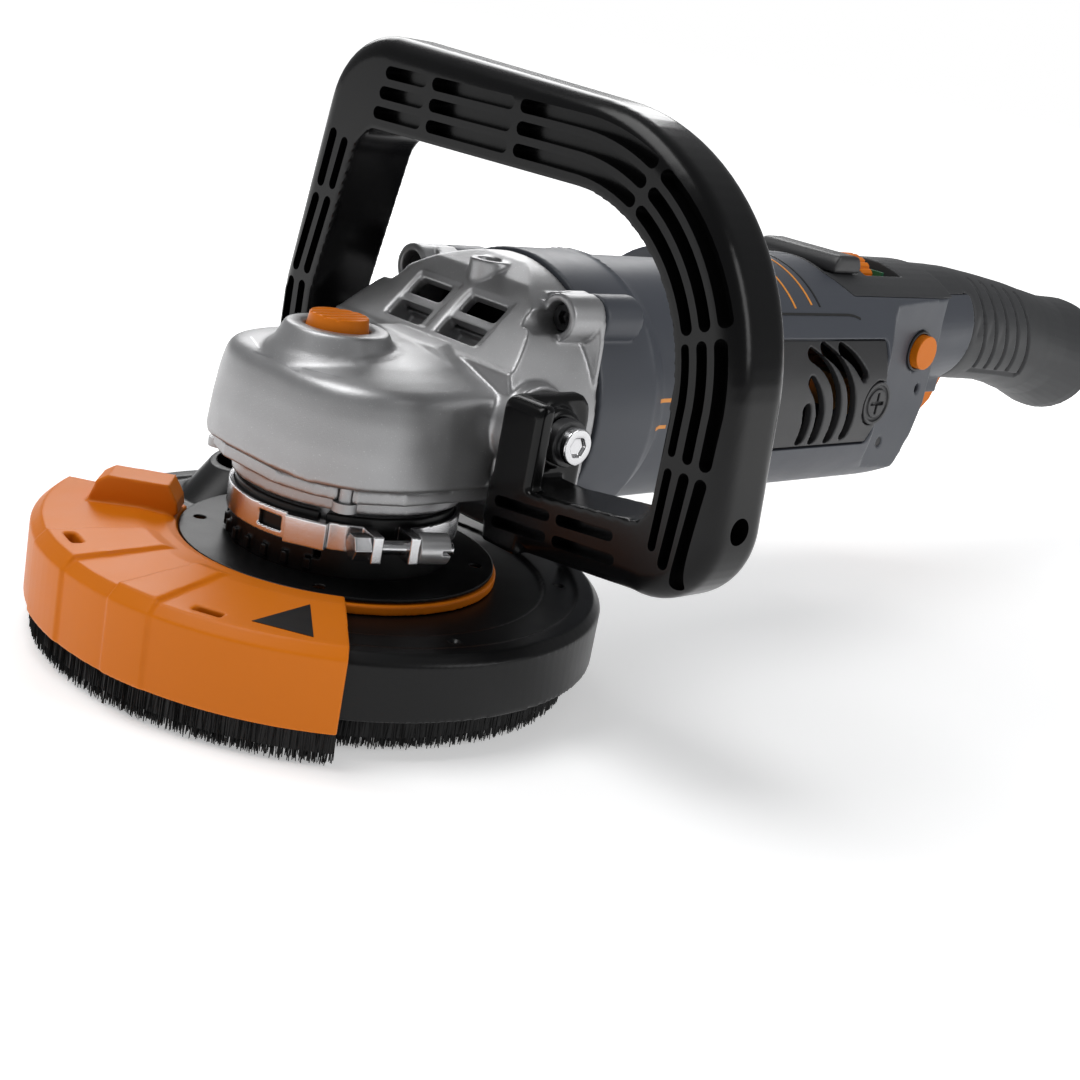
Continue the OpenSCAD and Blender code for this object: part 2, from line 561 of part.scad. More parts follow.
module dust_port() color(black) difference() {
    port_place() translate([0, 0, 12]) {
        cylinder(r = 16, h = 50);
        cylinder(r = 16.6, h = 12);
    }
    port_place() translate([0, 0, 0]) cylinder(r = 13.6, h = 90);
    translate([-40, 20, 0]) cube([160, 90, 24.4]);
}
module edge_gate() color(orange) {
    // swivel ring under the disc
    translate([0, 0, 27.5]) difference() {
        cylinder(r = 47.4, h = 2.8);
        translate([0, 0, -1]) cylinder(r = 35.9, h = 6);
    }
    // sector plate, stepped bands and skirt
    rotate([0, 0, 180 - gate_half]) rotate_extrude(angle = 2 * gate_half, $fn = 96)
        polygon([[46.8, 29.4], [84.8, 29.4], [84.8, 9.7], [gate_r, 9.7], [gate_r, 30.1],
            [84.2, 33], [58, 34], [50, 33.2], [46.8, 32]]);
    for (a = [[-17.5, -3], [10.5, 19.5]]) rotate([0, 0, 180 + a[0]])
        rotate_extrude(angle = a[1] - a[0], $fn = 96) polygon([[52, 33], [83.6, 33], [86.8, 30],
            [86.8, 10.2], [87.9, 10.2], [87.9, 30.4], [84.6, 34.2], [58, 35]]);
    // thumb tab
    rotate([0, 0, 137]) translate([44.5, -6, 31]) intersection() {
        cube([28, 12, 11]);
        rotate([90, 0, 0]) translate([0, 0, -14]) linear_extrude(16) polygon([[2, 3], [2.5, 6],
            [5.5, 11], [23, 11], [26, 9], [28, 3], [28, 0], [5, 0]]);
    }
}
module gate_brush() color(black) difference() {
    translate([0, 0, 0]) sector(84.8, 81, 29.4, 180 - gate_half, 180 + gate_half);
}
// ---- clamp round the neck ----
clamp_a = -108;
module clamp_band() color(steel) rotate([0, 0, clamp_a]) difference() {
    union() {
        translate([0, 0, 40]) ring(33.8, 32.3, 8);
        for (s = [-1, 1]) translate([31.5, s > 0 ? 4 : -7, 40]) cube([10, 3, 8]);
        rotate([0, 0, -38]) translate([33.2, -6, 40]) cube([2.4, 12, 8]);
    }
    translate([32.2, -4, 39]) cube([4, 8, 10]);
    rotate([0, 0, -58]) translate([30, -4, 42]) cube([10, 8, 4]);
    translate([38, -20, 44]) rotate([-90, 0, 0]) cylinder(r = 2.1, h = 40, $fn = 32);
    translate([0, 0, 30]) cylinder(r = 32.3, h = 20);
}
module clamp_bolt() color(steel) rotate([0, 0, clamp_a]) translate([38, -12, 44])
    rotate([-90, 0, 0]) {
        cylinder(r = 4, h = 4.9, $fn = 6);
        cylinder(r = 2.05, h = 30, $fn = 32);
    }
module clamp_nut() color(grey_cast) rotate([0, 0, clamp_a]) translate([38, 7.1, 44])
    rotate([-90, 0, 0]) difference() {
        cylinder(r = 4.4, h = 9);
        translate([0, 0, -1]) cylinder(r = 2.1, h = 12, $fn = 32);
        translate([-5, -0.6, 6.5]) cube([10, 1.2, 3]);
    }

// ---- grinding tool ----
hub_z = 18;
module inner_flange() color(steel) difference() {
    union() {
        translate([0, 0, hub_z + 4.5]) cylinder(r = 20.5, h = 5.5);
        translate([0, 0, hub_z + 0.5]) cylinder(r = 11, h = 5);
    }
    translate([0, 0, hub_z - 1]) cylinder(r = 7, h = 14);
}
module cup_wheel() color(black) difference() {
    rotate_extrude($fn = 96) polygon([[11.1, hub_z], [22, hub_z], [26, hub_z - 2.5],
        [38, wheel_z + 8], [42, wheel_z + 6.5], [wheel_r - 1, wheel_z + 6.5],
        [wheel_r - 1, wheel_z + 10], [44, wheel_z + 11], [30, hub_z + 2], [24, hub_z + 4.5],
        [11.1, hub_z + 4.5]]);
    for (i = [0 : 4]) rotate([0, 0, 36 + 72 * i]) translate([30, 0, 0]) cylinder(r = 4.6, h = 40,
        $fn = 32);
}
module segments_outer() color(grey_cast) for (i = [0 : segments - 1])
    translate([0, 0, wheel_z]) sector(wheel_r, wheel_r - 8, 6.5, i * 360 / segments - 14.5,
        i * 360 / segments + 14.5);
module segments_inner() color(grey_cast) for (i = [0 : segments - 1])
    translate([0, 0, wheel_z]) sector(53, 43.5, 6.5, (i + 0.5) * 360 / segments - 14,
        (i + 0.5) * 360 / segments + 14);
module lock_nut() color(dark) difference() {
    union() {
        translate([0, 0, 12.5]) cylinder(r = 20, h = 5.5);
        translate([0, 0, 10.5]) cylinder(r = 13, h = 2.1);
    }
    translate([0, 0, 5]) cylinder(r = 7.05, h = 20);
    for (i = [0 : 3]) rotate([0, 0, 90 * i]) translate([16, 0, 10]) cylinder(r = 2.5, h = 4.5,
        $fn = 24);
}

// ---- mains lead ----
cord_r = 4;
lead_x = 396.4;
lead_z = 85.7;
coil_c = [575, -56];
coil_r = 46;
// route of the lead from the grip to the coil, and from the coil to the plug
route = [[404, 0, 84.4], [414, 0, 82.6], [424, 0, 80.9], [437, 0, 78.5], [449, 0, 75.5],
    [460, 0, 71], [470, 0, 64.5], [478, 0, 57], [485, 0, 48], [491, 0, 38.5], [497, -0.3, 29.5],
    [504, -0.6, 21.5], [512, -1, 14.5], [521, -1.4, 9.4], [531, -1.8, 6], [542, -2, 4.4],
    [554, -2, 4], [566, -2, 4], [575, -2, 4]];
tail = [[629, -56, 20], [629, -66, 20], [629, -76, 19.6], [629, -86, 18.6], [629, -96, 17.4],
    [629, -104, 17]];

module cord_sleeve() color(dark) translate([lead_x, 0, lead_z]) rotate([0, 100, 0]) difference() {
    union() {
        translate([0, 0, -0.8]) cylinder(r = 8, h = 6);
        cylinder(r1 = 6.6, r2 = 5.2, h = 41);
    }
    translate([0, 0, -2]) cylinder(r = 4.02, h = 50);
    for (k = [0 : 5]) translate([0, 0, 10 + 5 * k]) ring(9, 5, 1.6);
}
function unit(v) = v / norm(v);
function tangent(p, i) = unit(p[min(i + 1, len(p) - 1)] - p[max(i - 1, 0)]);
function circle_at(c, t, r, n) = let (s = unit(cross(t, [0.31, 0.2, 0.93])), u = cross(s, t))
    [for (k = [0 : n - 1]) c + r * (cos(360 * k / n) * s + sin(360 * k / n) * u)];
module tube(p, r, n = 10) {
    m = len(p);
    pts = [for (i = [0 : m - 1]) each circle_at(p[i], tangent(p, i), r, n)];
    polyhedron(points = pts, faces = concat(
        [[for (k = [0 : n - 1]) k]],
        [[for (k = [n - 1 : -1 : 0]) (m - 1) * n + k]],
        [for (i = [0 : m - 2]) for (k = [0 : n - 1])
            [i * n + k, (i + 1) * n + k, (i + 1) * n + (k + 1) % n, i * n + (k + 1) % n]]));
}
module cord() color(black) {
    tube(route, cord_r);
    tube(tail, cord_r);
}
module cord_coil() color(black) translate([coil_c[0], coil_c[1], 0]) rotate_extrude($fn = 48)
    translate([coil_r - 12, 0]) polygon([[3, 0], [21, 0], [24, 3], [24, 21], [21, 24], [3, 24],
        [0, 21], [0, 3]]);
module plug() color(black) translate([629, -96, 17]) rotate([90, 0, 0]) {
    cylinder(r1 = 5.2, r2 = 7.5, h = 18);
    translate([0, 0, 17.9]) cylinder(r1 = 9, r2 = 16, h = 20);
    translate([0, 0, 37.8]) cylinder(r = 17, h = 17.2);
    for (s = [-1, 1]) translate([s * 9.5, 0, 54.9]) cylinder(r = 2.4, h = 19.1, $fn = 24);
}

gear_housing();
gearbox_cover();
cover_screws();
spindle();
spindle_bearing();
needle_bearing();
crown_gear();
lock_button();
lock_spring();
pinion();
armature_shaft();
armature_core();
armature_windings();
commutator();
cooling_fan();
front_bearing();
rear_bearing();
stator();
field_coils();
motor_housing();
flange_screws();
rear_housing_left();
rear_housing_right();
vent_panel_left();
vent_panel_right();
brush_holders();
carbon_brushes();
brush_caps();
stand_foot();
speed_dial();
control_board();
switch_body();
trigger();
lock_on_button();
lock_on_ring();
grip_overmould();
housing_screws();
d_handle();
handle_bolts();
handle_spacers();
shroud_cover();
shroud_neck();
shroud_disc();
shroud_brush();
gate_stop();
dust_port();
edge_gate();
gate_brush();
clamp_band();
clamp_bolt();
clamp_nut();
inner_flange();
cup_wheel();
segments_outer();
segments_inner();
lock_nut();
cord_sleeve();
cord();
cord_coil();
plug();
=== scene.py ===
"""Looks for the hand-held concrete grinder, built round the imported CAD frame.
Sizes are in millimetres until they become vertices, which are in metres. The spindle axis is Z, the brush
tips stand on z = 0 and the rear grip points to +X."""
import json
import math
import random

import bmesh
import bpy
from mathutils import Euler, Matrix, Vector
from mathutils.bvhtree import BVHTree

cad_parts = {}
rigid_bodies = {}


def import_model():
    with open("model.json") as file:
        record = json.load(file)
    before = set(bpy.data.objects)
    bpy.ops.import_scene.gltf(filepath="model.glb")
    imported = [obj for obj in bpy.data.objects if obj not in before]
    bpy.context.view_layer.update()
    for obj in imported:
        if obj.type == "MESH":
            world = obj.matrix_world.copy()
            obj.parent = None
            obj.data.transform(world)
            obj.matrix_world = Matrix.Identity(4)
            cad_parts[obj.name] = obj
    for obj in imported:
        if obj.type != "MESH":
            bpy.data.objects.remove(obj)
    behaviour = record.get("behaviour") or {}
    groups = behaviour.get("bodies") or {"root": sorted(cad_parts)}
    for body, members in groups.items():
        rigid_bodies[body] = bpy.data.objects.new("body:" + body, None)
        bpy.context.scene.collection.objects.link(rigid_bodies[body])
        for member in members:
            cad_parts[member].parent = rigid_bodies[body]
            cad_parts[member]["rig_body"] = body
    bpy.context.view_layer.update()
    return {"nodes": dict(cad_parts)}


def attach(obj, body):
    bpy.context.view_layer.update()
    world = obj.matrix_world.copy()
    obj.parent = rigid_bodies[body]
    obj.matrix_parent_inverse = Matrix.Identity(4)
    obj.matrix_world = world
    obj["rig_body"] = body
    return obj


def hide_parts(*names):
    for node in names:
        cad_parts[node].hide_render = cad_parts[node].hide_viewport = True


MM = 0.001
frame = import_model()
nodes = frame["nodes"]
scene = bpy.context.scene
rng = random.Random(11)

# axes and heights of the CAD model
MOTOR_Z = 78.4
REAR_Z = 82.0
GRIP_Z = 84.0
BUTTON_X = -12.1
PIVOT_X = 27.6


def link(name, mesh):
    ob = bpy.data.objects.new(name, mesh)
    scene.collection.objects.link(ob)
    return ob


# ---------------------------------------------------------------- camera
CAMERA_AT = (-307.91, -358.97, 188.33)
CAMERA_TURN = (72.6046, -10.4126, -44.4592)
cam_data = bpy.data.cameras.new("camera")
cam_data.lens = 56.0
cam_data.sensor_width = 36.0
cam_data.clip_start = 0.02
cam_data.clip_end = 30
camera = link("camera", cam_data)
facing = Euler([math.radians(a) for a in CAMERA_TURN]).to_matrix().to_4x4()
camera.matrix_world = Matrix.Translation(Vector(CAMERA_AT) * MM) @ facing
scene.camera = camera


# ---------------------------------------------------------------- materials
def material(name, colour, rough, metallic=0.0, second=None, patch=60.0, patch_share=0.35, grain=1800.0,
             bump=0.1, depth=0.0001, rough_swing=0.08, specular=0.5, stretch=None, speckle=None):
    """A moulded, cast or ground surface: slow colour variation, fine grain and uneven roughness."""
    m = bpy.data.materials.new(name)
    m.use_nodes = True
    t = m.node_tree
    t.nodes.clear()
    out = t.nodes.new("ShaderNodeOutputMaterial")
    bsdf = t.nodes.new("ShaderNodeBsdfPrincipled")
    t.links.new(bsdf.outputs[0], out.inputs[0])
    bsdf.inputs["Metallic"].default_value = metallic
    bsdf.inputs["Specular IOR Level"].default_value = specular
    coord = t.nodes.new("ShaderNodeTexCoord")
    mapping = t.nodes.new("ShaderNodeMapping")
    mapping.inputs["Scale"].default_value = stretch or (1, 1, 1)
    t.links.new(coord.outputs["Object"], mapping.inputs[0])

    def noise(scale, detail=3.0, mapped=True):
        n = t.nodes.new("ShaderNodeTexNoise")
        n.inputs["Scale"].default_value = scale
        n.inputs["Detail"].default_value = detail
        t.links.new(mapping.outputs[0] if mapped else coord.outputs["Object"], n.inputs["Vector"])
        return n

    slow = noise(patch, 4.0, False)
    ramp = t.nodes.new("ShaderNodeValToRGB")
    ramp.color_ramp.elements[0].position = 0.5 - patch_share
    ramp.color_ramp.elements[1].position = 0.5 + patch_share
    other = second or tuple(c * 0.86 for c in colour)
    ramp.color_ramp.elements[0].color = (*other, 1)
    ramp.color_ramp.elements[1].color = (*colour, 1)
    t.links.new(slow.outputs[0], ramp.inputs[0])
    shade = ramp.outputs[0]
    if speckle:
        spots = noise(speckle[0], 2.0)
        cut = t.nodes.new("ShaderNodeValToRGB")
        cut.color_ramp.elements[0].position = speckle[1]
        cut.color_ramp.elements[1].position = speckle[1] + 0.06
        mix = t.nodes.new("ShaderNodeMix")
        mix.data_type = "RGBA"
        mix.inputs["B"].default_value = (*speckle[2], 1)
        t.links.new(spots.outputs[0], cut.inputs[0])
        t.links.new(cut.outputs[0], mix.inputs["Factor"])
        t.links.new(shade, mix.inputs["A"])
        shade = mix.outputs["Result"]
    t.links.new(shade, bsdf.inputs["Base Color"])
    fine = noise(grain, 2.0)
    swing = t.nodes.new("ShaderNodeMapRange")
    swing.inputs["To Min"].default_value = rough - rough_swing
    swing.inputs["To Max"].default_value = rough + rough_swing
    uneven = noise(patch * 4, 5.0)
    t.links.new(uneven.outputs[0], swing.inputs["Value"])
    t.links.new(swing.outputs[0], bsdf.inputs["Roughness"])
    b = t.nodes.new("ShaderNodeBump")
    b.inputs["Strength"].default_value = bump
    b.inputs["Distance"].default_value = depth
    t.links.new(fine.outputs[0], b.inputs["Height"])
    t.links.new(b.outputs[0], bsdf.inputs["Normal"])
    return m


M = {
    "cast": material("cast_aluminium", (0.40, 0.40, 0.405), 0.40, 0.82, (0.34, 0.34, 0.345), 35, grain=2600,
                     bump=0.35, depth=0.00012, speckle=(2400, 0.66, (0.5, 0.5, 0.505))),
    "cast_dark": material("machined_aluminium", (0.46, 0.46, 0.47), 0.32, 0.9, (0.38, 0.38, 0.39), 60,
                          grain=2200, bump=0.25),
    "zinc": material("zinc_nut", (0.66, 0.66, 0.66), 0.35, 0.8, (0.55, 0.55, 0.56), 120, grain=2600,
                     bump=0.3),
    "steel": material("bright_steel", (0.70, 0.70, 0.71), 0.22, 1.0, (0.6, 0.6, 0.61), 90, grain=900,
                      bump=0.12, stretch=(1, 1, 9)),
    "lamination": material("lamination_steel", (0.34, 0.34, 0.36), 0.45, 1.0, None, 80, grain=1200,
                           bump=0.5, stretch=(6, 0.2, 0.2)),
    "copper": material("copper_wire", (0.75, 0.33, 0.16), 0.35, 0.9, (0.5, 0.2, 0.09), 300, grain=1400,
                       bump=0.5),
    "brass": material("brass", (0.78, 0.58, 0.25), 0.3, 1.0, (0.6, 0.42, 0.16), 90, grain=1500, bump=0.2),
    "slate": material("slate_plastic", (0.052, 0.058, 0.072), 0.42, 0.0, (0.046, 0.051, 0.063), 22,
                      grain=2400, bump=0.28, depth=0.00008),
    "dark": material("dark_plastic", (0.026, 0.026, 0.028), 0.42, 0.0, (0.021, 0.021, 0.022), 25,
                     grain=2400, bump=0.25, depth=0.00008),
    "rubber": material("black_rubber", (0.036, 0.037, 0.039), 0.52, 0.0, (0.030, 0.031, 0.033), 25,
                       grain=3000, bump=0.3, depth=0.00007, specular=0.4),
    "cable": material("cable_rubber", (0.022, 0.022, 0.023), 0.5, 0.0, (0.017, 0.017, 0.018), 40,
                      grain=1500, bump=0.25, depth=0.0001),
    "gloss": material("black_plastic", (0.0022, 0.0022, 0.0024), 0.22, 0.0, (0.0018, 0.0018, 0.002), 15,
                      grain=700, bump=0.05, depth=0.00015, rough_swing=0.05, specular=0.22),
    "shroud": material("shroud_plastic", (0.0035, 0.0035, 0.0038), 0.34, 0.0, (0.0028, 0.0028, 0.003), 20,
                       grain=2200, bump=0.3, depth=0.00009, specular=0.25),
    "orange": material("orange_plastic", (0.70, 0.180, 0.004), 0.40, 0.0, (0.65, 0.163, 0.0035), 16,
                       grain=2300, bump=0.22, depth=0.00008, specular=0.2),
    "bristle": material("black_bristle", (0.008, 0.008, 0.0085), 0.55, 0.0, (0.004, 0.004, 0.004), 900,
                        grain=3000, bump=0.3, specular=0.3),
    "screw": material("black_screws", (0.02, 0.02, 0.021), 0.33, 0.6, None, 200, grain=2500, bump=0.3),
    "wheel": material("wheel_paint", (0.012, 0.012, 0.013), 0.36, 0.2, (0.02, 0.02, 0.021), 30, grain=1600,
                      bump=0.4, depth=0.00015),
    "diamond": material("diamond_segment", (0.42, 0.41, 0.39), 0.45, 0.75, (0.30, 0.29, 0.28), 90,
                        grain=3200, bump=0.8, depth=0.0002, speckle=(1500, 0.62, (0.16, 0.15, 0.14))),
    "carbon": material("carbon", (0.02, 0.02, 0.021), 0.6, 0.1, None, 300, grain=2500, bump=0.4),
    "board": material("circuit_board", (0.02, 0.14, 0.06), 0.4, 0.0, (0.01, 0.1, 0.04), 400, grain=1800,
                      bump=0.3),
    "plate": material("plated_pins", (0.72, 0.70, 0.66), 0.25, 1.0, None, 90, grain=2000, bump=0.15),
    "ink_orange": material("printed_orange", (0.80, 0.30, 0.04), 0.4, 0.0, None, 40, grain=2400, bump=0.1),
    "ink_black": material("printed_black", (0.004, 0.004, 0.004), 0.4, 0.0, None, 40, grain=2400, bump=0.1),
    "seam": material("seam_gasket", (0.006, 0.006, 0.006), 0.6, 0.0, None, 80, grain=2400, bump=0.3),
}


# ---------------------------------------------------------------- mesh helpers
def bake(ob):
    """Applies the modifiers of a piece."""
    dg = bpy.context.evaluated_depsgraph_get()
    made = bpy.data.meshes.new_from_object(ob.evaluated_get(dg))
    old = ob.data
    ob.modifiers.clear()
    ob.data = made
    bpy.data.meshes.remove(old)
    return ob


def smooth(ob, angle=None):
    for p in ob.data.polygons:
        p.use_smooth = True
    if angle is not None:
        ob.data.set_sharp_from_angle(angle=math.radians(angle))


def soften(ob, voxel, rounds, faces, worn=None, worn_rounds=0, pressed=None):
    """Fuses a piece's solids, rounds its edges as a mould does, and thins the mesh to a number of triangles.
    worn gives 0 to 1 at a point in mm, for far rounder parts; pressed gives how deep a groove is there."""
    r = ob.modifiers.new("fuse", "REMESH")
    r.mode, r.voxel_size, r.use_smooth_shade = "VOXEL", voxel * MM, True
    if worn is not None:
        bake(ob)
        group = ob.vertex_groups.new(name="worn")
        for v in ob.data.vertices:
            w = worn(v.co / MM)
            if w > 0:
                group.add([v.index], w, "REPLACE")
        big = ob.modifiers.new("wear", "SMOOTH")
        big.factor, big.iterations, big.vertex_group = 0.5, worn_rounds, "worn"
    if pressed is not None:
        s = ob.modifiers.new("round", "SMOOTH")
        s.factor, s.iterations = 0.5, rounds
        bake(ob)
        rounds = 1
        push = [(v.index, v.normal.copy(), pressed(v.co / MM, v.normal)) for v in ob.data.vertices]
        for i, normal, deep in push:
            if deep > 0:
                ob.data.vertices[i].co -= normal * deep * MM
    s = ob.modifiers.new("round", "SMOOTH")
    s.factor, s.iterations = 0.5, rounds
    bake(ob)
    total = 2 * len(ob.data.polygons)
    if total > faces:
        d = ob.modifiers.new("thin", "DECIMATE")
        d.ratio = faces / total
        bake(ob)
    smooth(ob)
    return ob


def cut(ob, cutter, operation="DIFFERENCE"):
    b = ob.modifiers.new("cut", "BOOLEAN")
    b.object, b.operation, b.solver, b.use_self = cutter, operation, "EXACT", True
    bake(ob)
    old = cutter.data
    bpy.data.objects.remove(cutter)
    bpy.data.meshes.remove(old)
    return ob


def finish_piece(ob, key, body, *replaced):
    ob.data.materials.clear()
    ob.data.materials.append(M[key])
    for p in ob.data.polygons:
        p.material_index = 0
    if replaced:
        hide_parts(*replaced)
    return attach(ob, body)


def copy_of(name, *sources):
    """A new mesh made from the shapes of some CAD nodes."""
    bm = bmesh.new()
    for s in sources:
        bm.from_mesh(nodes[s].data)
    bmesh.ops.remove_doubles(bm, verts=bm.verts, dist=1e-7)
    mesh = bpy.data.meshes.new(name)
    bm.to_mesh(mesh)
    bm.free()
    return link(name, mesh)


def recast(name, key, sources, voxel, rounds, faces, cutter=None, **more):
    """A piece with the shape of CAD nodes and moulded edges, which stands for them."""
    sources = [sources] if isinstance(sources, str) else sources
    body = nodes[sources[0]]["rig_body"]
    ob = copy_of(name, *sources)
    if cutter is not None:
        cut(ob, cutter)
    soften(ob, voxel, rounds, faces, **more)
    return finish_piece(ob, key, body, *sources)


def prism(points, low, high, axis="x"):
    """Verts and faces of an outline extruded along an axis.
    Points are (y, z) for x, (x, z) for y and (x, y) for z."""
    n = len(points)
    order = {"x": lambda a, b, c: (c, a, b), "y": lambda a, b, c: (a, c, b), "z": lambda a, b, c: (a, b, c)}
    put = order[axis]
    verts = [put(a, b, low) for a, b in points] + [put(a, b, high) for a, b in points]
    faces = [list(range(n))[::-1], [n + i for i in range(n)]]
    faces += [[i, (i + 1) % n, n + (i + 1) % n, n + i] for i in range(n)]
    return verts, faces


def solid(name, parts, bevel=0.0, segments=3):
    """One mesh from several closed prisms, in millimetres."""
    bm = bmesh.new()
    for verts, faces in parts:
        vs = [bm.verts.new(Vector(v) * MM) for v in verts]
        for f in faces:
            bm.faces.new([vs[i] for i in f])
    bmesh.ops.recalc_face_normals(bm, faces=bm.faces)
    if bevel:
        sharp = [e for e in bm.edges if e.is_manifold and e.calc_face_angle(0) > math.radians(35)]
        bmesh.ops.bevel(bm, geom=sharp, offset=bevel * MM, segments=segments, affect="EDGES", profile=0.5,
                        clamp_overlap=True)
    mesh = bpy.data.meshes.new(name)
    bm.to_mesh(mesh)
    bm.free()
    return link(name, mesh)


def arc(cx, cy, r, a0, a1, n):
    return [(cx + r * math.cos(math.radians(a0 + (a1 - a0) * i / n)),
             cy + r * math.sin(math.radians(a0 + (a1 - a0) * i / n))) for i in range(n + 1)]


def circle(cx, cy, r, n):
    return arc(cx, cy, r, 0, 360, n)[:-1]


def groove(path, width, low, high, axis="x"):
    """A round-ended slot of a given width along a path of 2-D points, as a closed prism."""
    left, right = [], []
    h = width / 2
    for i, p in enumerate(path):
        a, b = path[max(i - 1, 0)], path[min(i + 1, len(path) - 1)]
        d = Vector((b[0] - a[0], b[1] - a[1])).normalized()
        n = Vector((-d.y, d.x))
        left.append((p[0] + n.x * h, p[1] + n.y * h))
        right.append((p[0] - n.x * h, p[1] - n.y * h))

    def cap(edge, centre):
        """The half circle from an edge's last point round an end of the path."""
        a0 = math.degrees(math.atan2(edge[1] - centre[1], edge[0] - centre[0]))
        return arc(centre[0], centre[1], h, a0, a0 - 180, 6)[1:-1]

    outline = left + cap(left[-1], path[-1]) + right[::-1] + cap(right[0], path[0])
    return prism(outline, low, high, axis)


def lathe(profile, steps=64, start=0.0, sweep=360.0):
    """Verts and faces of a closed profile [(r, z)] turned about Z."""
    n = len(profile)
    full = sweep >= 360
    rows = steps if full else steps + 1
    verts, faces = [], []
    for k in range(rows):
        a = math.radians(start + sweep * k / steps)
        verts += [(r * math.cos(a), r * math.sin(a), z) for r, z in profile]
    for k in range(steps):
        a, b = k * n, ((k + 1) % rows) * n
        faces += [[a + i, b + i, b + (i + 1) % n, a + (i + 1) % n] for i in range(n)]
    if not full:
        faces += [list(range(n))[::-1], [(rows - 1) * n + i for i in range(n)]]
    return verts, faces


def moved(part, matrix):
    verts, faces = part
    return [tuple(matrix @ Vector(v)) for v in verts], faces


def shifted(x, y, z):
    return Matrix.Translation((x, y, z))


def turned(angle, axis="Z"):
    return Matrix.Rotation(math.radians(angle), 4, axis)


def join(ob, *others):
    """Adds other pieces' meshes to a piece's own, as they are."""
    bm = bmesh.new()
    bm.from_mesh(ob.data)
    for other in others:
        bm.from_mesh(other.data)
        bpy.data.objects.remove(other)
    bm.to_mesh(ob.data)
    bm.free()


def skin_of(mesh):
    """A mesh's faces, ready for finding where a ray meets them."""
    bm = bmesh.new()
    bm.from_mesh(mesh)
    tree = BVHTree.FromBMesh(bm)
    bm.free()
    return tree


# ---------------------------------------------------------------- mains lead
CORD_R = 4.0
COIL = Vector((575, -56, 0))
LEAD = [(404, 0, 84.4), (414, 0, 82.6), (424, 0, 80.9), (437, 0, 78.5), (449, 0, 75.5), (460, 0, 71),
        (470, 0, 64.5), (478, 0, 57), (485, 0, 48), (491, 0, 38.5), (497, -0.3, 29.5), (504, -0.6, 21.5),
        (512, -1, 14.5), (521, -1.4, 9.4), (531, -1.8, 6), (542, -2, 4.4), (554, -2, 4), (566, -2, 4),
        (575, -2, 4)]
TAIL = [(629, -56, 20), (629, -66, 20), (629, -76, 19.6), (629, -86, 18.6), (629, -96, 17.4), (629, -104, 17)]
# radius and height of each turn in the coil's bundle, 3 turns deep and 3 high
CELLS = [(54, 4), (46, 4), (38, 4), (38, 12), (38, 20), (46, 20), (46, 12), (54, 12), (54, 20)]
TURNS = 8.25
STEPS_A_TURN = 48
# how many degrees a turn takes to cross to the next place, and where the last turn starts to cross
RAMP = 73
LAST_CROSSING = 105
CROSSING_STEP = 26


def coil_points():
    points = []
    for k in range(1, int(TURNS * STEPS_A_TURN)):
        total = 360.0 * k / STEPS_A_TURN
        n, within = int(total // 360), total % 360
        r, z = CELLS[n]
        if n < 8:
            t = min(max((within - (LAST_CROSSING + CROSSING_STEP * (7 - n))) / RAMP, 0), 1)
            t = t * t * (3 - 2 * t)
            r += (CELLS[n + 1][0] - r) * t
            z += (CELLS[n + 1][1] - z) * t
        a = math.radians(90 - total)
        points.append((COIL.x + r * math.cos(a), COIL.y + r * math.sin(a), z))
    return points


def curved(points, parts=3):
    """Points along a smooth line through the given ones."""
    out = []
    for i in range(len(points) - 1):
        p0, p1 = Vector(points[max(i - 1, 0)]), Vector(points[i])
        p2, p3 = Vector(points[i + 1]), Vector(points[min(i + 2, len(points) - 1)])
        for k in range(parts):
            t = k / parts
            out.append(tuple(0.5 * ((2 * p1) + (p2 - p0) * t + (2 * p0 - 5 * p1 + 4 * p2 - p3) * t * t
                                    + (3 * p1 - p0 - 3 * p2 + p3) * t ** 3)))
    return out + [points[-1]]


line = curved(LEAD, 2) + coil_points() + curved(TAIL, 2)
curve = bpy.data.curves.new("mains_lead", "CURVE")
curve.dimensions = "3D"
curve.bevel_depth = CORD_R * MM
curve.bevel_resolution = 4
curve.use_fill_caps = True
spline = curve.splines.new("POLY")
spline.points.add(len(line) - 1)
for p, c in zip(spline.points, line):
    p.co = (*(Vector(c) * MM), 1)
spline.use_smooth = True
lead = link("mains_lead", curve)
curve.materials.append(M["cable"])
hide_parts("cord", "cord_coil")
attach(lead, "tool")

# plug: a ribbed tapered sleeve, a bulged body and two pins, turned about a line along -Y
PLUG_AT = shifted(629, -96, 17) @ turned(90, "X")
SLEEVE_LINE = [(4.2, 0), (5.3, 0), (5.5, 2), (5.0, 2.5), (5.0, 3.5), (5.8, 4), (6.0, 6), (5.4, 6.5),
               (5.4, 7.5), (6.3, 8), (6.5, 10), (5.8, 10.5), (5.8, 11.5), (6.8, 12), (7.1, 14), (6.4, 14.5),
               (6.4, 15.5), (7.4, 16)]
BODY_LINE = [(8.8, 18.4), (11.4, 20.4), (13.2, 24), (14.6, 30), (15.8, 36.5), (16.8, 39), (16.9, 41),
             (16.3, 42), (16.3, 43), (16.9, 44), (16.9, 46), (16.3, 47), (16.3, 48), (16.9, 49),
             (16.8, 53), (16.0, 54.6), (15.2, 55), (0.01, 55), (0.01, 0)]
PIN_LINE = [(0.01, 54), (2.38, 54), (2.38, 72), (2.1, 73.3), (1.4, 73.9), (0.01, 74)]
PIN_PITCH = 19.0
plug = solid("plug_body", [moved(lathe(SLEEVE_LINE + BODY_LINE, 72), PLUG_AT)])
smooth(plug, 50)
finish_piece(plug, "cable", "tool", "plug")
pins = solid("plug_pins", [moved(lathe(PIN_LINE, 24), PLUG_AT @ shifted(side * PIN_PITCH / 2, 0, 0))
                           for side in (-1, 1)])
smooth(pins, 50)
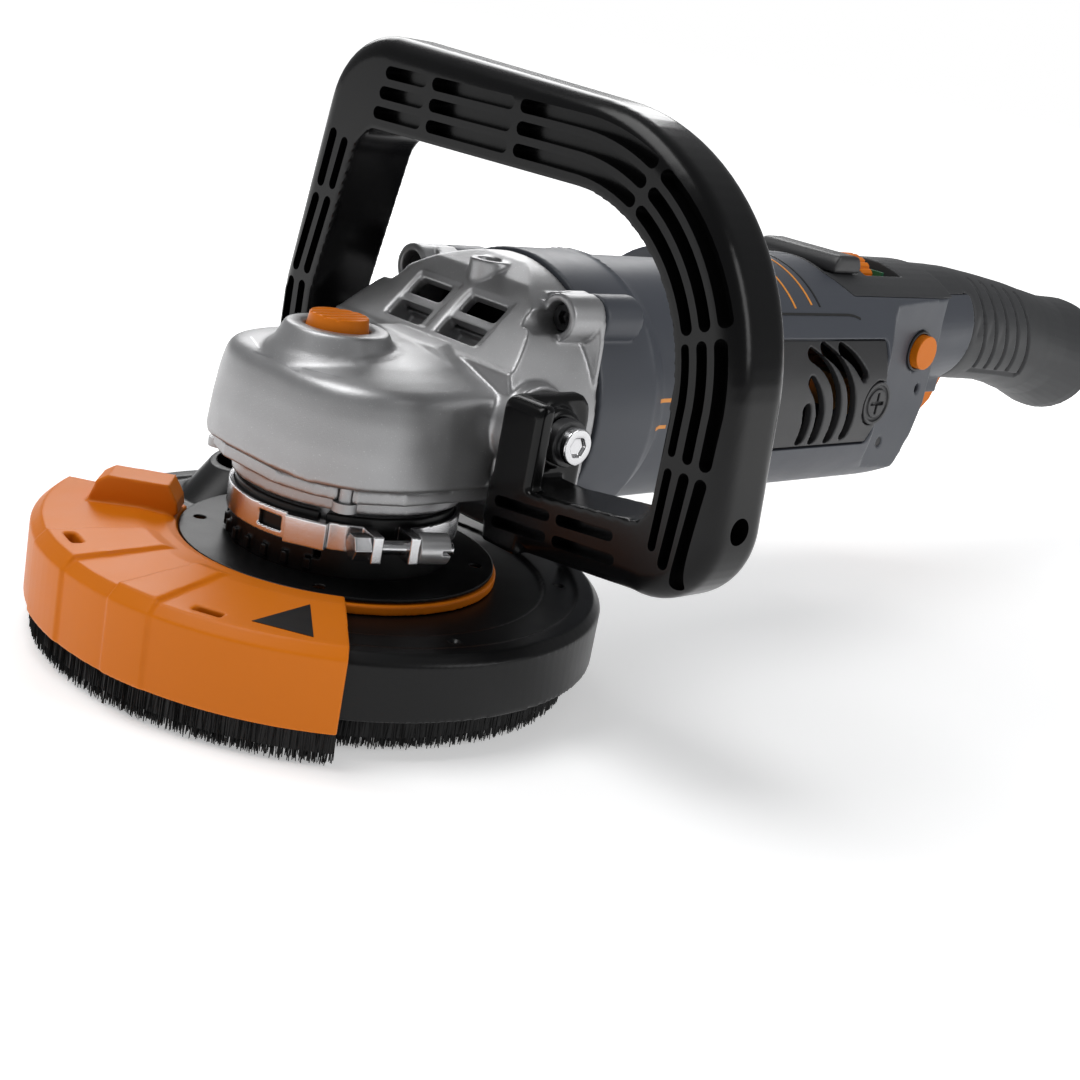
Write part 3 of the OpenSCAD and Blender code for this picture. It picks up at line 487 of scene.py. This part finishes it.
finish_piece(pins, "plate", "tool")


def band_round(angle):
    """A flat strap round the coil's bundle, thinner and higher where it lies on the floor."""
    half_wide, half_side, in_r, out_r = 5.0, 8.6, 3.8, 4.6
    bundle_r, bundle_z = 46, 12.05
    inside, outside = [], []
    for q, (sx, sz) in enumerate([(1, 1), (-1, 1), (-1, -1), (1, -1)]):
        in_lift, out_lift = (1.3, 1.2) if sz < 0 else (0, 0)
        for step in range(6):
            w = math.radians(90 * q + 18 * step)
            x, z = math.cos(w), math.sin(w)
            inside.append((sx * half_side + in_r * x, sz * half_side + in_r * z + in_lift))
            outside.append((sx * half_side + out_r * x, sz * half_side + out_r * z + out_lift))
    n = len(inside)
    place = shifted(COIL.x, COIL.y, bundle_z) @ turned(angle) @ shifted(bundle_r, 0, 0)
    verts = [tuple(place @ Vector((x, y, z))) for y in (-half_wide, half_wide) for x, z in inside + outside]
    faces = []
    for i in range(n):
        j = (i + 1) % n
        faces += [[i, j, 2 * n + j, 2 * n + i], [n + j, n + i, 3 * n + i, 3 * n + j], [i, n + i, n + j, j],
                  [2 * n + j, 3 * n + j, 3 * n + i, 2 * n + i]]
    return verts, faces


ties = solid("coil_ties", [band_round(200), band_round(320)])
smooth(ties, 40)
finish_piece(ties, "rubber", "tool")

# ---------------------------------------------------------------- D-handle
FRONT, BACK = 12.0, 35.0
RIM_ROUND = 6.2
SLOT_DEEP = 5.0
# the left bow's centre and inner radius, which the slots' rows follow
BOW_Y, BOW_Z, BOW_R = -55, 101.5, 47
outer = [(58.5, 64), (61, 70), (61, 98)] + arc(27, 150.5, 24.5, 8, 92, 10) + \
    arc(-52, 102, 69.5, 92, 178, 24) + arc(-101.5, 74, 22, 180, 275, 12) + [(-45, 46.5), (-45, 66)]
inner = [(45, 64), (45, 95), (43.5, 101.5)] + arc(24, 137.5, 11, 8, 92, 8) + \
    arc(BOW_Y, BOW_Z, BOW_R, 92, 178, 24) + arc(-95.5, 78, 7, 180, 275, 8) + [(-60, 66)]
handle = solid("d_handle_shell", [prism(outer + inner[::-1], FRONT, BACK, "x")])
outside = {(round(a, 2), round(b, 2)) for a, b in outer[:-1]}


def on_rim(edge):
    """Whether an edge runs along the outer outline, at the front or the back."""
    a, b = (v.co / MM for v in edge.verts)
    return abs(a.x - b.x) <= 0.01 and all((round(p.y, 2), round(p.z, 2)) in outside for p in (a, b))


bm = bmesh.new()
bm.from_mesh(handle.data)
bmesh.ops.bevel(bm, geom=[e for e in bm.edges if on_rim(e)], offset=RIM_ROUND * MM, segments=7,
                affect="EDGES", profile=0.5, clamp_overlap=False)
bm.to_mesh(handle.data)
bm.free()

slots = []


def slot(path, width):
    slots.append(groove(path, width, FRONT - 1, FRONT + SLOT_DEEP, "x"))


def bow(off, a0, a1, n):
    return arc(BOW_Y, BOW_Z, BOW_R + off, a0, a1, n)


def straight(a, b, n=2):
    return [(a[0] + (b[0] - a[0]) * i / n, a[1] + (b[1] - a[1]) * i / n) for i in range(n + 1)]


# rows of slots, each off mm outside the inner outline: the top and the left bow, the bow's low end, the left
# leg, the foot, and the right leg
for off, wide in ((4.6, 3.6), (10.4, 3.7), (16.2, 3.7)):
    z = 148.6 + off
    slot(straight((27 - 0.25 * off, z), (8.5, z)), wide)
    slot(straight((2.5, z), (-27.5, z)), wide)
    slot([(-33.5, z), (-44, z)] + bow(off, 92, 114, 7), wide)
    slot(bow(off, 119.5, 156, 10), wide)
for off, wide in ((3.7, 2.5), (8.9, 3.3), (14.6, 3.7)):
    slot(bow(off, 161.5, 177, 5) + [(-102 - off, 92)], wide)
for off, wide, drop in ((3.9, 2.6, -3.0), (9.2, 3.4, 0), (14.6, 3.6, 4)):
    slot(straight((-102 - off, 86.5), (-102.3 - 0.86 * off, 64 - drop)), wide)
for off, end in ((4.6, -91), (10.6, -93)):
    slot(straight((end, 69.4 - off), (-73.5, 67.4 - off)), 3.2)
    slot(straight((-68, 66.9 - off), (-50, 65.0 - off)), 3.2)
for off, wide in ((4.2, 3.2), (9.9, 3.4)):
    slot(straight((45.2 + off, 74), (45.0 + off, 97)), wide)
    slot(straight((43.6 + off, 102.5), (38.6 + off, 124)), wide)
    slot(straight((37.3 + off, 129.5), (34.6 + off, 141 + 0.3 * off)), wide)


def tube_y(y0, y1, r, x=PIVOT_X, z=MOTOR_Z):
    return prism(circle(x, z, r, 40), y0, y1, "y")


brackets = solid("brackets", [
    prism([(12, 47), (43, 56), (43, 83), (42, 87), (39, 90), (17, 90), (12, 88)], -50, -45, "y"),
    prism([(12, 47), (18, 48.5), (18, 90), (14, 90), (12, 88)], -60, -45.5, "y"),
    prism([(12, 47), (43, 56), (43, 60.5), (26, 60.5), (21, 62), (18, 65), (12, 66)], -60, -45.5, "y"),
    tube_y(-54, -48, 9),
    prism([(12, 66), (16, 62), (38, 62), (43, 68), (43, 88), (38, 94), (12, 96)], 45, 58.3, "y")], 1.3, 3)
join(handle, brackets)
soften(handle, 0.75, 5, 60000)
bolt_holes = [tube_y(-70, -40, 4.25), tube_y(44, 70, 4.25), tube_y(58.4, 70, 7.2)]
hang_hole = tube_y(-130, -110, 3.6, 23, 76)
cut(handle, solid("handle_cutters", slots + bolt_holes + [hang_hole]))
smooth(handle, 40)
finish_piece(handle, "gloss", "handle", "d_handle")


# ---------------------------------------------------------------- gear case
def head_wear(p):
    """How far the gear head's broad faces are blended into each other."""
    return 0 if p.x > 18 or p.z < 62 else min(1, (18 - p.x) / 6) * (0.35 if p.z > 91 else 1)


def nose_cutters():
    """The CAD nose's block, and the deck above it on each side of the button's collar."""
    half = [(-60, 0)] + arc(BUTTON_X, 0, 18.2, 180, 0, 24) + [(12, 0), (12, 60), (-60, 60)]
    other = [(x, -y) for x, y in half]
    block = [(-60, -60), (12, -60), (12, 60), (-60, 60)]
    return [solid("nose_cutter", [prism(block, 60.2, 89.95, "z")]),
            solid("deck_cutter", [prism(half, 89.9, 104, "z")]),
            solid("deck_cutter", [prism(other, 89.9, 104, "z")])]


def grille_cutter():
    """Four windows through the sloping shoulder, in two rows that lean with it."""
    windows = []
    for k in (0, 1):
        for y, wide in ((-19, 14.5), (5.5, 14)):
            lean = shifted(21.5 + 6.5 * k, y, 96 + 6.8 * k) @ turned(-46.5, "Y") @ shifted(0.5, 0, -9)
            windows.append(moved(prism([(0, 0), (6.6, 0), (6.6, wide), (0, wide)], 0, 9.6, "z"), lean))
    return solid("window_cutter", windows)


def flange_webs():
    """Webs that flare out to the four flange screws: the upper pair's outline, and the same turned over."""
    rim = [(41.0, 88), (40.7, 99), (39.8, 108), (36.2, 113.8), (29, 115), (21.5, 112.4)] + \
        arc(0, 80, 37.5, 56, 14, 8)
    low_rim = [(y, max(154 - z, 37.0)) for y, z in rim]
    webs = []
    for side in (1, -1):
        for outline in (rim, low_rim):
            loop = [(side * y, z) for y, z in outline]
            front = [(52.0 - (41 - abs(y)) * 0.5, y, z) for y, z in loop]
            webs.append((front + [(53.6, y, z) for y, z in loop], prism(loop, 0, 1)[1]))
    return solid("webs", webs)


def nose():
    """A rounded nose with the foot of the button's collar, from rings of (height, reach, half width)."""
    rings = [(60.2, 37.0, 39.2), (61, 37.7, 39.7), (70, 36.7, 39.8), (79, 35.3, 39.3), (84, 34.2, 38.4),
             (86, 33.2, 37.4), (87.2, 31.6, 35.6), (88.8, 27, 31), (90.8, 20, 24), (92.6, 12, 15),
             (93.6, 5, 7)]
    square, steps, back = 0.72, 40, 17
    verts, faces = [], []
    for z, reach, half in rings:
        for k in range(steps + 1):
            t = math.radians(90 + 180 * k / steps)
            c, s = math.cos(t), math.sin(t)
            verts.append((-reach * abs(c) ** square, math.copysign(half * abs(s) ** square, s), z))
        verts += [(back, -half, z), (back, half, z)]
    n = steps + 3
    for r in range(len(rings) - 1):
        a, b = r * n, (r + 1) * n
        faces += [[a + k, a + (k + 1) % n, b + (k + 1) % n, b + k] for k in range(n)]
    faces += [list(range(n))[::-1], [(len(rings) - 1) * n + k for k in range(n)]]
    ob = solid("nose", [(verts, faces)])
    at_button = shifted(BUTTON_X, 0, 0)
    foot = lathe([(3.0, 85), (21.5, 85), (20, 87.5), (18.4, 90), (17.8, 90.6), (3.0, 90.6)], 64)
    chamber = lathe([(0.01, 59), (31, 59), (31, 84), (0.01, 84)], 64)
    button_bore = lathe([(0.01, 80), (3.1, 80), (3.1, 91), (9.3, 91), (9.3, 101), (0.01, 101)], 48)
    cut(ob, solid("collar_foot", [moved(foot, at_button)]), "UNION")
    return cut(ob, solid("chamber_cutter", [chamber, moved(button_bore, at_button)]))


def gear_case():
    """The CAD gear case, with a rounded nose in place of its faceted one."""
    ob = copy_of("gear_case", "gear_housing")
    for cutter in nose_cutters():
        cut(ob, cutter)
    cut(ob, grille_cutter())
    join(ob, nose(), flange_webs())
    soften(ob, 0.62, 3, 150000, worn=head_wear, worn_rounds=36)
    return finish_piece(ob, "cast", "tool", "gear_housing")


# ---------------------------------------------------------------- castings and mouldings in the CAD's shapes
def grip_grooves(p, normal):
    """Five finger grooves that lean back on each side, joined low down by a long one."""
    if normal.y * p.y + normal.z * (p.z - GRIP_Z) < 0 or p.x < 285 or p.x > 356:
        return 0
    half, low_half = 1.25, 1.1
    for k in range(5):
        lean = 300 + 9.5 * k + 0.008 * (p.z - 96) ** 2 - 0.33 * (p.z - 96)
        if 85 - 0.9 * k < p.z < 120 - 1.2 * k:
            d = abs(p.x - lean)
            if d < half:
                return 1.9 * min(1, 1.7 * (1 - (d / half) ** 2))
    d = abs(p.z - (84.2 - 0.08 * (p.x - 300)))
    return 1.2 * (1 - (d / low_half) ** 2) if d < low_half and 303 < p.x < 345 else 0


case = gear_case()
# name, material, CAD node, voxel in mm, rounds of smoothing, most triangles
recast("gear_case_cover", "cast", "gearbox_cover", 0.6, 3, 40000)
recast("motor_tube", "slate", "motor_housing", 0.7, 3, 90000)
recast("rear_shell_left", "slate", "rear_housing_left", 0.7, 3, 80000)
recast("rear_shell_right", "slate", "rear_housing_right", 0.7, 3, 80000)
recast("grip_skin", "rubber", "grip_overmould", 0.5, 5, 130000, pressed=grip_grooves,
       worn=lambda p: 1 if 283 < p.x < 356 else 0, worn_rounds=240)
recast("foot_bar", "dark", "stand_foot", 0.4, 80, 16000)
recast("button_lock", "orange", "lock_button", 0.25, 3, 20000)
recast("button_lock_on", "orange", "lock_on_button", 0.25, 3, 14000)
recast("trigger_lever", "orange", "trigger", 0.4, 4, 20000)
recast("dial_wheel", "orange", "speed_dial", 0.3, 2, 24000)
recast("shroud_body", "shroud", "shroud_cover", 0.6, 2, 120000)
recast("shroud_collar", "shroud", "shroud_neck", 0.35, 2, 50000)
recast("shroud_plate", "shroud", "shroud_disc", 0.35, 2, 30000)
recast("dust_tube", "shroud", "dust_port", 0.5, 2, 30000)
recast("strap", "steel", "clamp_band", 0.3, 2, 50000)
recast("strap_bolt", "steel", "clamp_bolt", 0.25, 2, 14000)
recast("strap_nut", "zinc", "clamp_nut", 0.25, 2, 14000)
recast("strain_relief", "rubber", "cord_sleeve", 0.3, 2, 30000)
recast("pivot_bolts", "steel", "handle_bolts", 0.3, 2, 24000)
recast("pivot_spacers", "dark", "handle_spacers", 0.3, 2, 14000)
recast("caps", "dark", "brush_caps", 0.25, 2, 24000)
recast("lock_on_collar", "dark", "lock_on_ring", 0.25, 2, 12000)
recast("case_screws", "screw", "flange_screws", 0.3, 2, 24000)
recast("gate_peg", "dark", "gate_stop", 0.25, 2, 5000)
recast("wheel_body", "wheel", "cup_wheel", 0.5, 2, 80000)
recast("wheel_segments_outer", "diamond", "segments_outer", 0.4, 2, 50000)
recast("wheel_segments_inner", "diamond", "segments_inner", 0.4, 2, 50000)
recast("wheel_nut", "steel", "lock_nut", 0.35, 2, 24000)
recast("wheel_flange", "steel", "inner_flange", 0.4, 2, 20000)

# ---------------------------------------------------------------- edge gate
WINDOWS = ((79.5, 168), (80.0, 208))


def gate_windows():
    """Two small windows through the gate's top, each at a radius and an angle."""
    window = prism([(-4, -1.5), (4, -1.5), (4, 1.5), (-4, 1.5)], 25, 40, "z")
    places = [turned(a) @ shifted(r, 0, 0) @ turned(90) for r, a in WINDOWS]
    return solid("gate_cutters", [moved(window, place) for place in places])


recast("gate_cover", "orange", "edge_gate", 0.5, 3, 130000, gate_windows())

# ---------------------------------------------------------------- louvred panels
LOUVRES = (((160.0, 97.5), (168, 93.5), (175, 86), (179, 76), (180.5, 67.5)),
           ((160.5, 88.5), (165, 84), (169, 77), (171.5, 67.5)),
           ((160.5, 79), (162.5, 74), (164, 67.5)),
           ((167.5, 99.2), (177, 94), (184, 85.5), (188, 75), (189, 68.5)),
           ((178, 99.0), (185, 95.5), (191.5, 90)))
LOUVRE_WIDE = 4.5


def louvre_panel(name, side):
    """A curved panel with louvres, and a round hole for the brush cap."""
    a0, a1, steps = -25.0, 28.5, 30
    outline = arc(0, REAR_Z, 41.6, a0, a1, steps) + arc(0, REAR_Z, 38.6, a1, a0, steps)
    ob = solid(name, [prism([(side * y, z) for y, z in outline], 140.4, 205.6, "x")])
    low, high = sorted((30 * side, 46 * side))
    cuts = []
    for path in LOUVRES:
        bent = [p[:2] for p in curved([(x, z, 0) for x, z in path], 3)]
        cuts.append(groove(bent, LOUVRE_WIDE, low, high, "y"))
    cuts.append(prism(circle(202, 80, 8.15, 48), low, high, "y"))
    cut(ob, solid("louvre_cutters", cuts))
    soften(ob, 0.4, 2, 50000)
    return finish_piece(ob, "dark", "tool", "vent_panel_left" if side < 0 else "vent_panel_right")


louvre_panel("louvres_left", -1)
louvre_panel("louvres_right", 1)


# ---------------------------------------------------------------- brushes
def about_strand(r, a, thick, way, z):
    """A point on a strand's skin, the strand being at radius r and angle a round the spindle."""
    out, aside = r + thick * math.cos(way), thick * math.sin(way)
    return Vector((out * math.cos(a) - aside * math.sin(a), out * math.sin(a) + aside * math.cos(a), z)) * MM


def bristles(name, node, body, r0, r1, top, a0, a1, rows, pitch):
    """A holding strip with strands of bristle, which splay a little and end unevenly."""
    strand_top, thick_top, thick_tip = 12.4, 0.26, 0.15
    third = 2.0944
    bm = bmesh.new()
    strip = [(r0 + 0.5, 3.4), (r1 - 0.5, 3.4), (r1 - 0.5, 11), (r1, 11.5), (r1, top), (r0, top), (r0, 11.5),
             (r0 + 0.5, 11)]
    verts, faces = lathe(strip, 120, a0, a1 - a0)
    vs = [bm.verts.new(Vector(v) * MM) for v in verts]
    for f in faces:
        bm.faces.new([vs[i] for i in f])
    bmesh.ops.recalc_face_normals(bm, faces=bm.faces)
    for k in range(rows):
        r = r0 + 0.35 + (r1 - r0 - 0.7) * k / (rows - 1)
        count = int(math.radians(a1 - a0) * r / pitch)
        for i in range(count):
            a = math.radians(a0) + math.radians(a1 - a0) * (i + rng.random()) / count
            tip = rng.uniform(0.05, 1.5) if rng.random() < 0.8 else rng.uniform(1.2, 2.6)
            lean = rng.uniform(-0.9, 0.9) / r
            out = min(max(r + rng.uniform(-0.45, 0.45), r0 + 0.15), r1 - 0.15)
            ring_top, ring_low = [], []
            for q in range(3):
                way = q * third + rng.random()
                ring_top.append(bm.verts.new(about_strand(r, a, thick_top, way, strand_top)))
                ring_low.append(bm.verts.new(about_strand(out, a + lean, thick_tip, way, tip)))
            for q in range(3):
                bm.faces.new([ring_top[q], ring_low[q], ring_low[(q + 1) % 3], ring_top[(q + 1) % 3]])
            bm.faces.new(ring_low[::-1])
            bm.faces.new(ring_top)
    bmesh.ops.recalc_face_normals(bm, faces=bm.faces)
    mesh = bpy.data.meshes.new(name)
    bm.to_mesh(mesh)
    bm.free()
    return finish_piece(link(name, mesh), "bristle", body, node)


bristles("bristles_shroud", "shroud_brush", "shroud", 69.5, 73.3, 24.2, -129, 129, 5, 0.42)
bristles("bristles_gate", "gate_brush", "gate", 81.0, 84.8, 29.3, 126, 234, 5, 0.42)


# ---------------------------------------------------------------- prints, gaskets and seams
def ribbon(name, key, body, path, wide, lift=0.25, sink=0.5):
    """A raised line along 3-D points, each with its outward direction: [((x, y, z), (nx, ny, nz)), ...]."""
    verts, faces = [], []
    n = len(path)
    for i, (p, out) in enumerate(path):
        a, b = Vector(path[max(i - 1, 0)][0]), Vector(path[min(i + 1, n - 1)][0])
        along, out = (b - a).normalized(), Vector(out).normalized()
        across = along.cross(out).normalized() * (wide / 2)
        for sx, o in ((-1, -sink), (1, -sink), (1, lift), (-1, lift)):
            verts.append(tuple(Vector(p) + across * sx + out * o))
    for i in range(n - 1):
        a, b = 4 * i, 4 * i + 4
        faces += [[a + k, a + (k + 1) % 4, b + (k + 1) % 4, b + k] for k in range(4)]
    faces += [[3, 2, 1, 0], [4 * n - 4 + k for k in range(4)]]
    ob = solid(name, [(verts, faces)])
    smooth(ob, 40)
    return finish_piece(ob, key, body)


def on_tube(x, a, r, z):
    """A point of a tube about the X axis at height z, a degrees up from +Y, and its outward direction."""
    c, s = math.cos(math.radians(a)), math.sin(math.radians(a))
    return (x, r * c, z + r * s), (0, c, s)


case_skin = skin_of(case.data)
tube_skin = skin_of(nodes["motor_housing"].data)


def on_deck(a, b, n=8):
    """Points along a straight mark on the gear case's deck, with the outward direction at each."""
    path = []
    for i in range(n + 1):
        x, y = (a[0] + (b[0] - a[0]) * i / n, a[1] + (b[1] - a[1]) * i / n)
        hit, normal, _, _ = case_skin.ray_cast(Vector((x, y, 130)) * MM, Vector((0, 0, -1)))
        path.append((tuple(hit / MM), tuple(normal)))
    return path


def on_motor(x, a):
    """The motor tube's skin at x, a degrees up from +Y."""
    out = Vector((0, math.cos(math.radians(a)), math.sin(math.radians(a))))
    hit, normal, _, _ = tube_skin.ray_cast((Vector((x, 0, MOTOR_Z)) + 70 * out) * MM, -out)
    return tuple(hit / MM), tuple(normal)


def on_rear(side, x, a):
    """The rear housing's skin at x, a degrees up on one side."""
    return on_tube(x, 180 - a if side < 0 else a, 42.05, REAR_Z)


for k, (a, b) in enumerate((((-32.0, -1.0), (-31.6, -10.5)), ((-30.2, -10.0), (-25.5, -21.0)))):
    for mirrored in (1, -1):
        ribbon("turn_mark_%d_%d" % (k, mirrored + 1), "cast_dark", "tool",
               on_deck((a[0], mirrored * a[1]), (b[0], mirrored * b[1])), 0.55, 0.05, 0.3)

for side, label in ((-1, "left"), (1, "right")):
    panel_line = [on_rear(side, x, 41) for x in (140, 150, 160, 170, 180, 186)]
    for q in (15, 30):
        bend = math.radians(q)
        panel_line.append(on_rear(side, 186 + 13 * math.sin(bend), 41 - 15 * (1 - math.cos(bend))))
    ribbon("panel_line_" + label, "seam", "tool", panel_line, 0.9, 0.12)
    for line_name, key, x, low in (("a", "ink_orange", 156.5, 44), ("b", "ink_orange", 166.5, 46),
                                   ("c", "seam", 171.0, 45)):
        ribbon("label_line_%s_%s" % (line_name, label), key, "tool",
               [on_rear(side, x, a) for a in range(low, 90, 3)], 0.9, 0.1)
    for k, a0 in enumerate((7.8, -4.6)):
        ribbon("motor_mark_%s_%d" % (label, k), "ink_orange", "tool",
               [on_motor(84 + 1.6 * i, 180 - a0 if side < 0 else a0) for i in range(5)], 1.2, 0.06, 0.4)

# a plain triangle on the gate's top, which falls 1 mm in 26.2 from its height at 58 mm out
corners = [(-64.0, -46.8), (-43.5, -43.6), (-55.0, -60.5)]
heights = [34.16 - (math.hypot(x, y) - 58) / 26.2 for x, y in corners]
sticker = solid("gate_sticker", [([(x, y, z - h) for h in (0.6, 0) for (x, y), z in zip(corners, heights)],
                                  [[2, 1, 0], [3, 4, 5], [0, 1, 4, 3], [1, 2, 5, 4], [2, 0, 3, 5]])])
finish_piece(sticker, "ink_black", "gate")

# ---------------------------------------------------------------- CAD nodes that stay
KEEP = {"cast": ["cover_screws"],
        "cast_dark": ["needle_bearing"],
        "steel": ["spindle", "spindle_bearing", "lock_spring", "pinion", "armature_shaft", "front_bearing",
                  "rear_bearing", "crown_gear"],
        "screw": ["housing_screws"],
        "lamination": ["armature_core", "stator"],
        "copper": ["armature_windings", "commutator", "field_coils"],
        "brass": ["brush_holders"],
        "carbon": ["carbon_brushes"],
        "board": ["control_board"],
        "dark": ["switch_body", "cooling_fan"]}
for key, names in KEEP.items():
    for n in names:
        nodes[n].data.materials.clear()
        nodes[n].data.materials.append(M[key])

# ---------------------------------------------------------------- floor, world and lights
floor_mesh = bpy.data.meshes.new("floor")
floor_mesh.from_pydata([(-40, -40, 0), (40, -40, 0), (40, 40, 0), (-40, 40, 0)], [], [(0, 1, 2, 3)])
floor = link("floor", floor_mesh)
floor.location.z = -0.0004
floor_mat = material("pale_floor", (0.88, 0.88, 0.88), 0.9, 0.0, (0.87, 0.87, 0.87), 3, grain=300, bump=0.02,
                     specular=0.1)
ft = floor_mat.node_tree
bsdf = next(n for n in ft.nodes if n.type == "BSDF_PRINCIPLED")
where = ft.nodes.new("ShaderNodeTexCoord")
centre = ft.nodes.new("ShaderNodeVectorMath")
centre.operation = "SUBTRACT"
centre.inputs[1].default_value = (0.15, 0, 0)
away = ft.nodes.new("ShaderNodeVectorMath")
away.operation = "LENGTH"
far = ft.nodes.new("ShaderNodeMapRange")
far.interpolation_type = "SMOOTHSTEP"
far.inputs["From Min"].default_value = 0.1
far.inputs["From Max"].default_value = 0.75
far.inputs["To Min"].default_value = 0.34
far.inputs["To Max"].default_value = 0.92
ft.links.new(where.outputs["Object"], centre.inputs[0])
ft.links.new(centre.outputs[0], away.inputs[0])
ft.links.new(away.outputs["Value"], far.inputs["Value"])
bsdf.inputs["Emission Color"].default_value = (1, 1, 1, 1)
ft.links.new(far.outputs[0], bsdf.inputs["Emission Strength"])
floor_mesh.materials.append(floor_mat)

world = bpy.data.worlds.new("studio")
scene.world = world
world.use_nodes = True
wt = world.node_tree
wt.nodes.clear()
w_out = wt.nodes.new("ShaderNodeOutputWorld")
w_mix = wt.nodes.new("ShaderNodeMixShader")
w_path = wt.nodes.new("ShaderNodeLightPath")
w_dim = wt.nodes.new("ShaderNodeBackground")
w_dim.inputs["Color"].default_value = (0.97, 0.98, 1.0, 1)
w_dim.inputs["Strength"].default_value = 0.27
w_seen = wt.nodes.new("ShaderNodeBackground")
w_seen.inputs["Strength"].default_value = 1.0
w_seen.inputs["Color"].default_value = (1, 1, 1, 1)
wt.links.new(w_path.outputs["Is Camera Ray"], w_mix.inputs[0])
wt.links.new(w_dim.outputs[0], w_mix.inputs[1])
wt.links.new(w_seen.outputs[0], w_mix.inputs[2])
wt.links.new(w_mix.outputs[0], w_out.inputs[0])


def area(name, at, target, size, power, size_y=None):
    data = bpy.data.lights.new(name, "AREA")
    data.energy = power
    data.size = size
    data.shape = "RECTANGLE"
    data.size_y = size_y or size
    ob = bpy.data.objects.new(name, data)
    scene.collection.objects.link(ob)
    ob.location = at
    ob.rotation_mode = "QUATERNION"
    ob.rotation_quaternion = (Vector(at) - Vector(target)).to_track_quat("Z", "Y")
    return ob


area("key", (-0.35, 0.25, 1.15), (0.08, 0, 0.06), 0.7, 7.5, 0.7)
area("side", (0.55, -1.1, 0.75), (0.15, 0, 0.08), 0.4, 4.5, 0.9)
area("back", (0.7, 0.9, 0.7), (0.1, 0, 0.06), 0.9, 6, 0.5)
scene.view_settings.view_transform = "Standard"
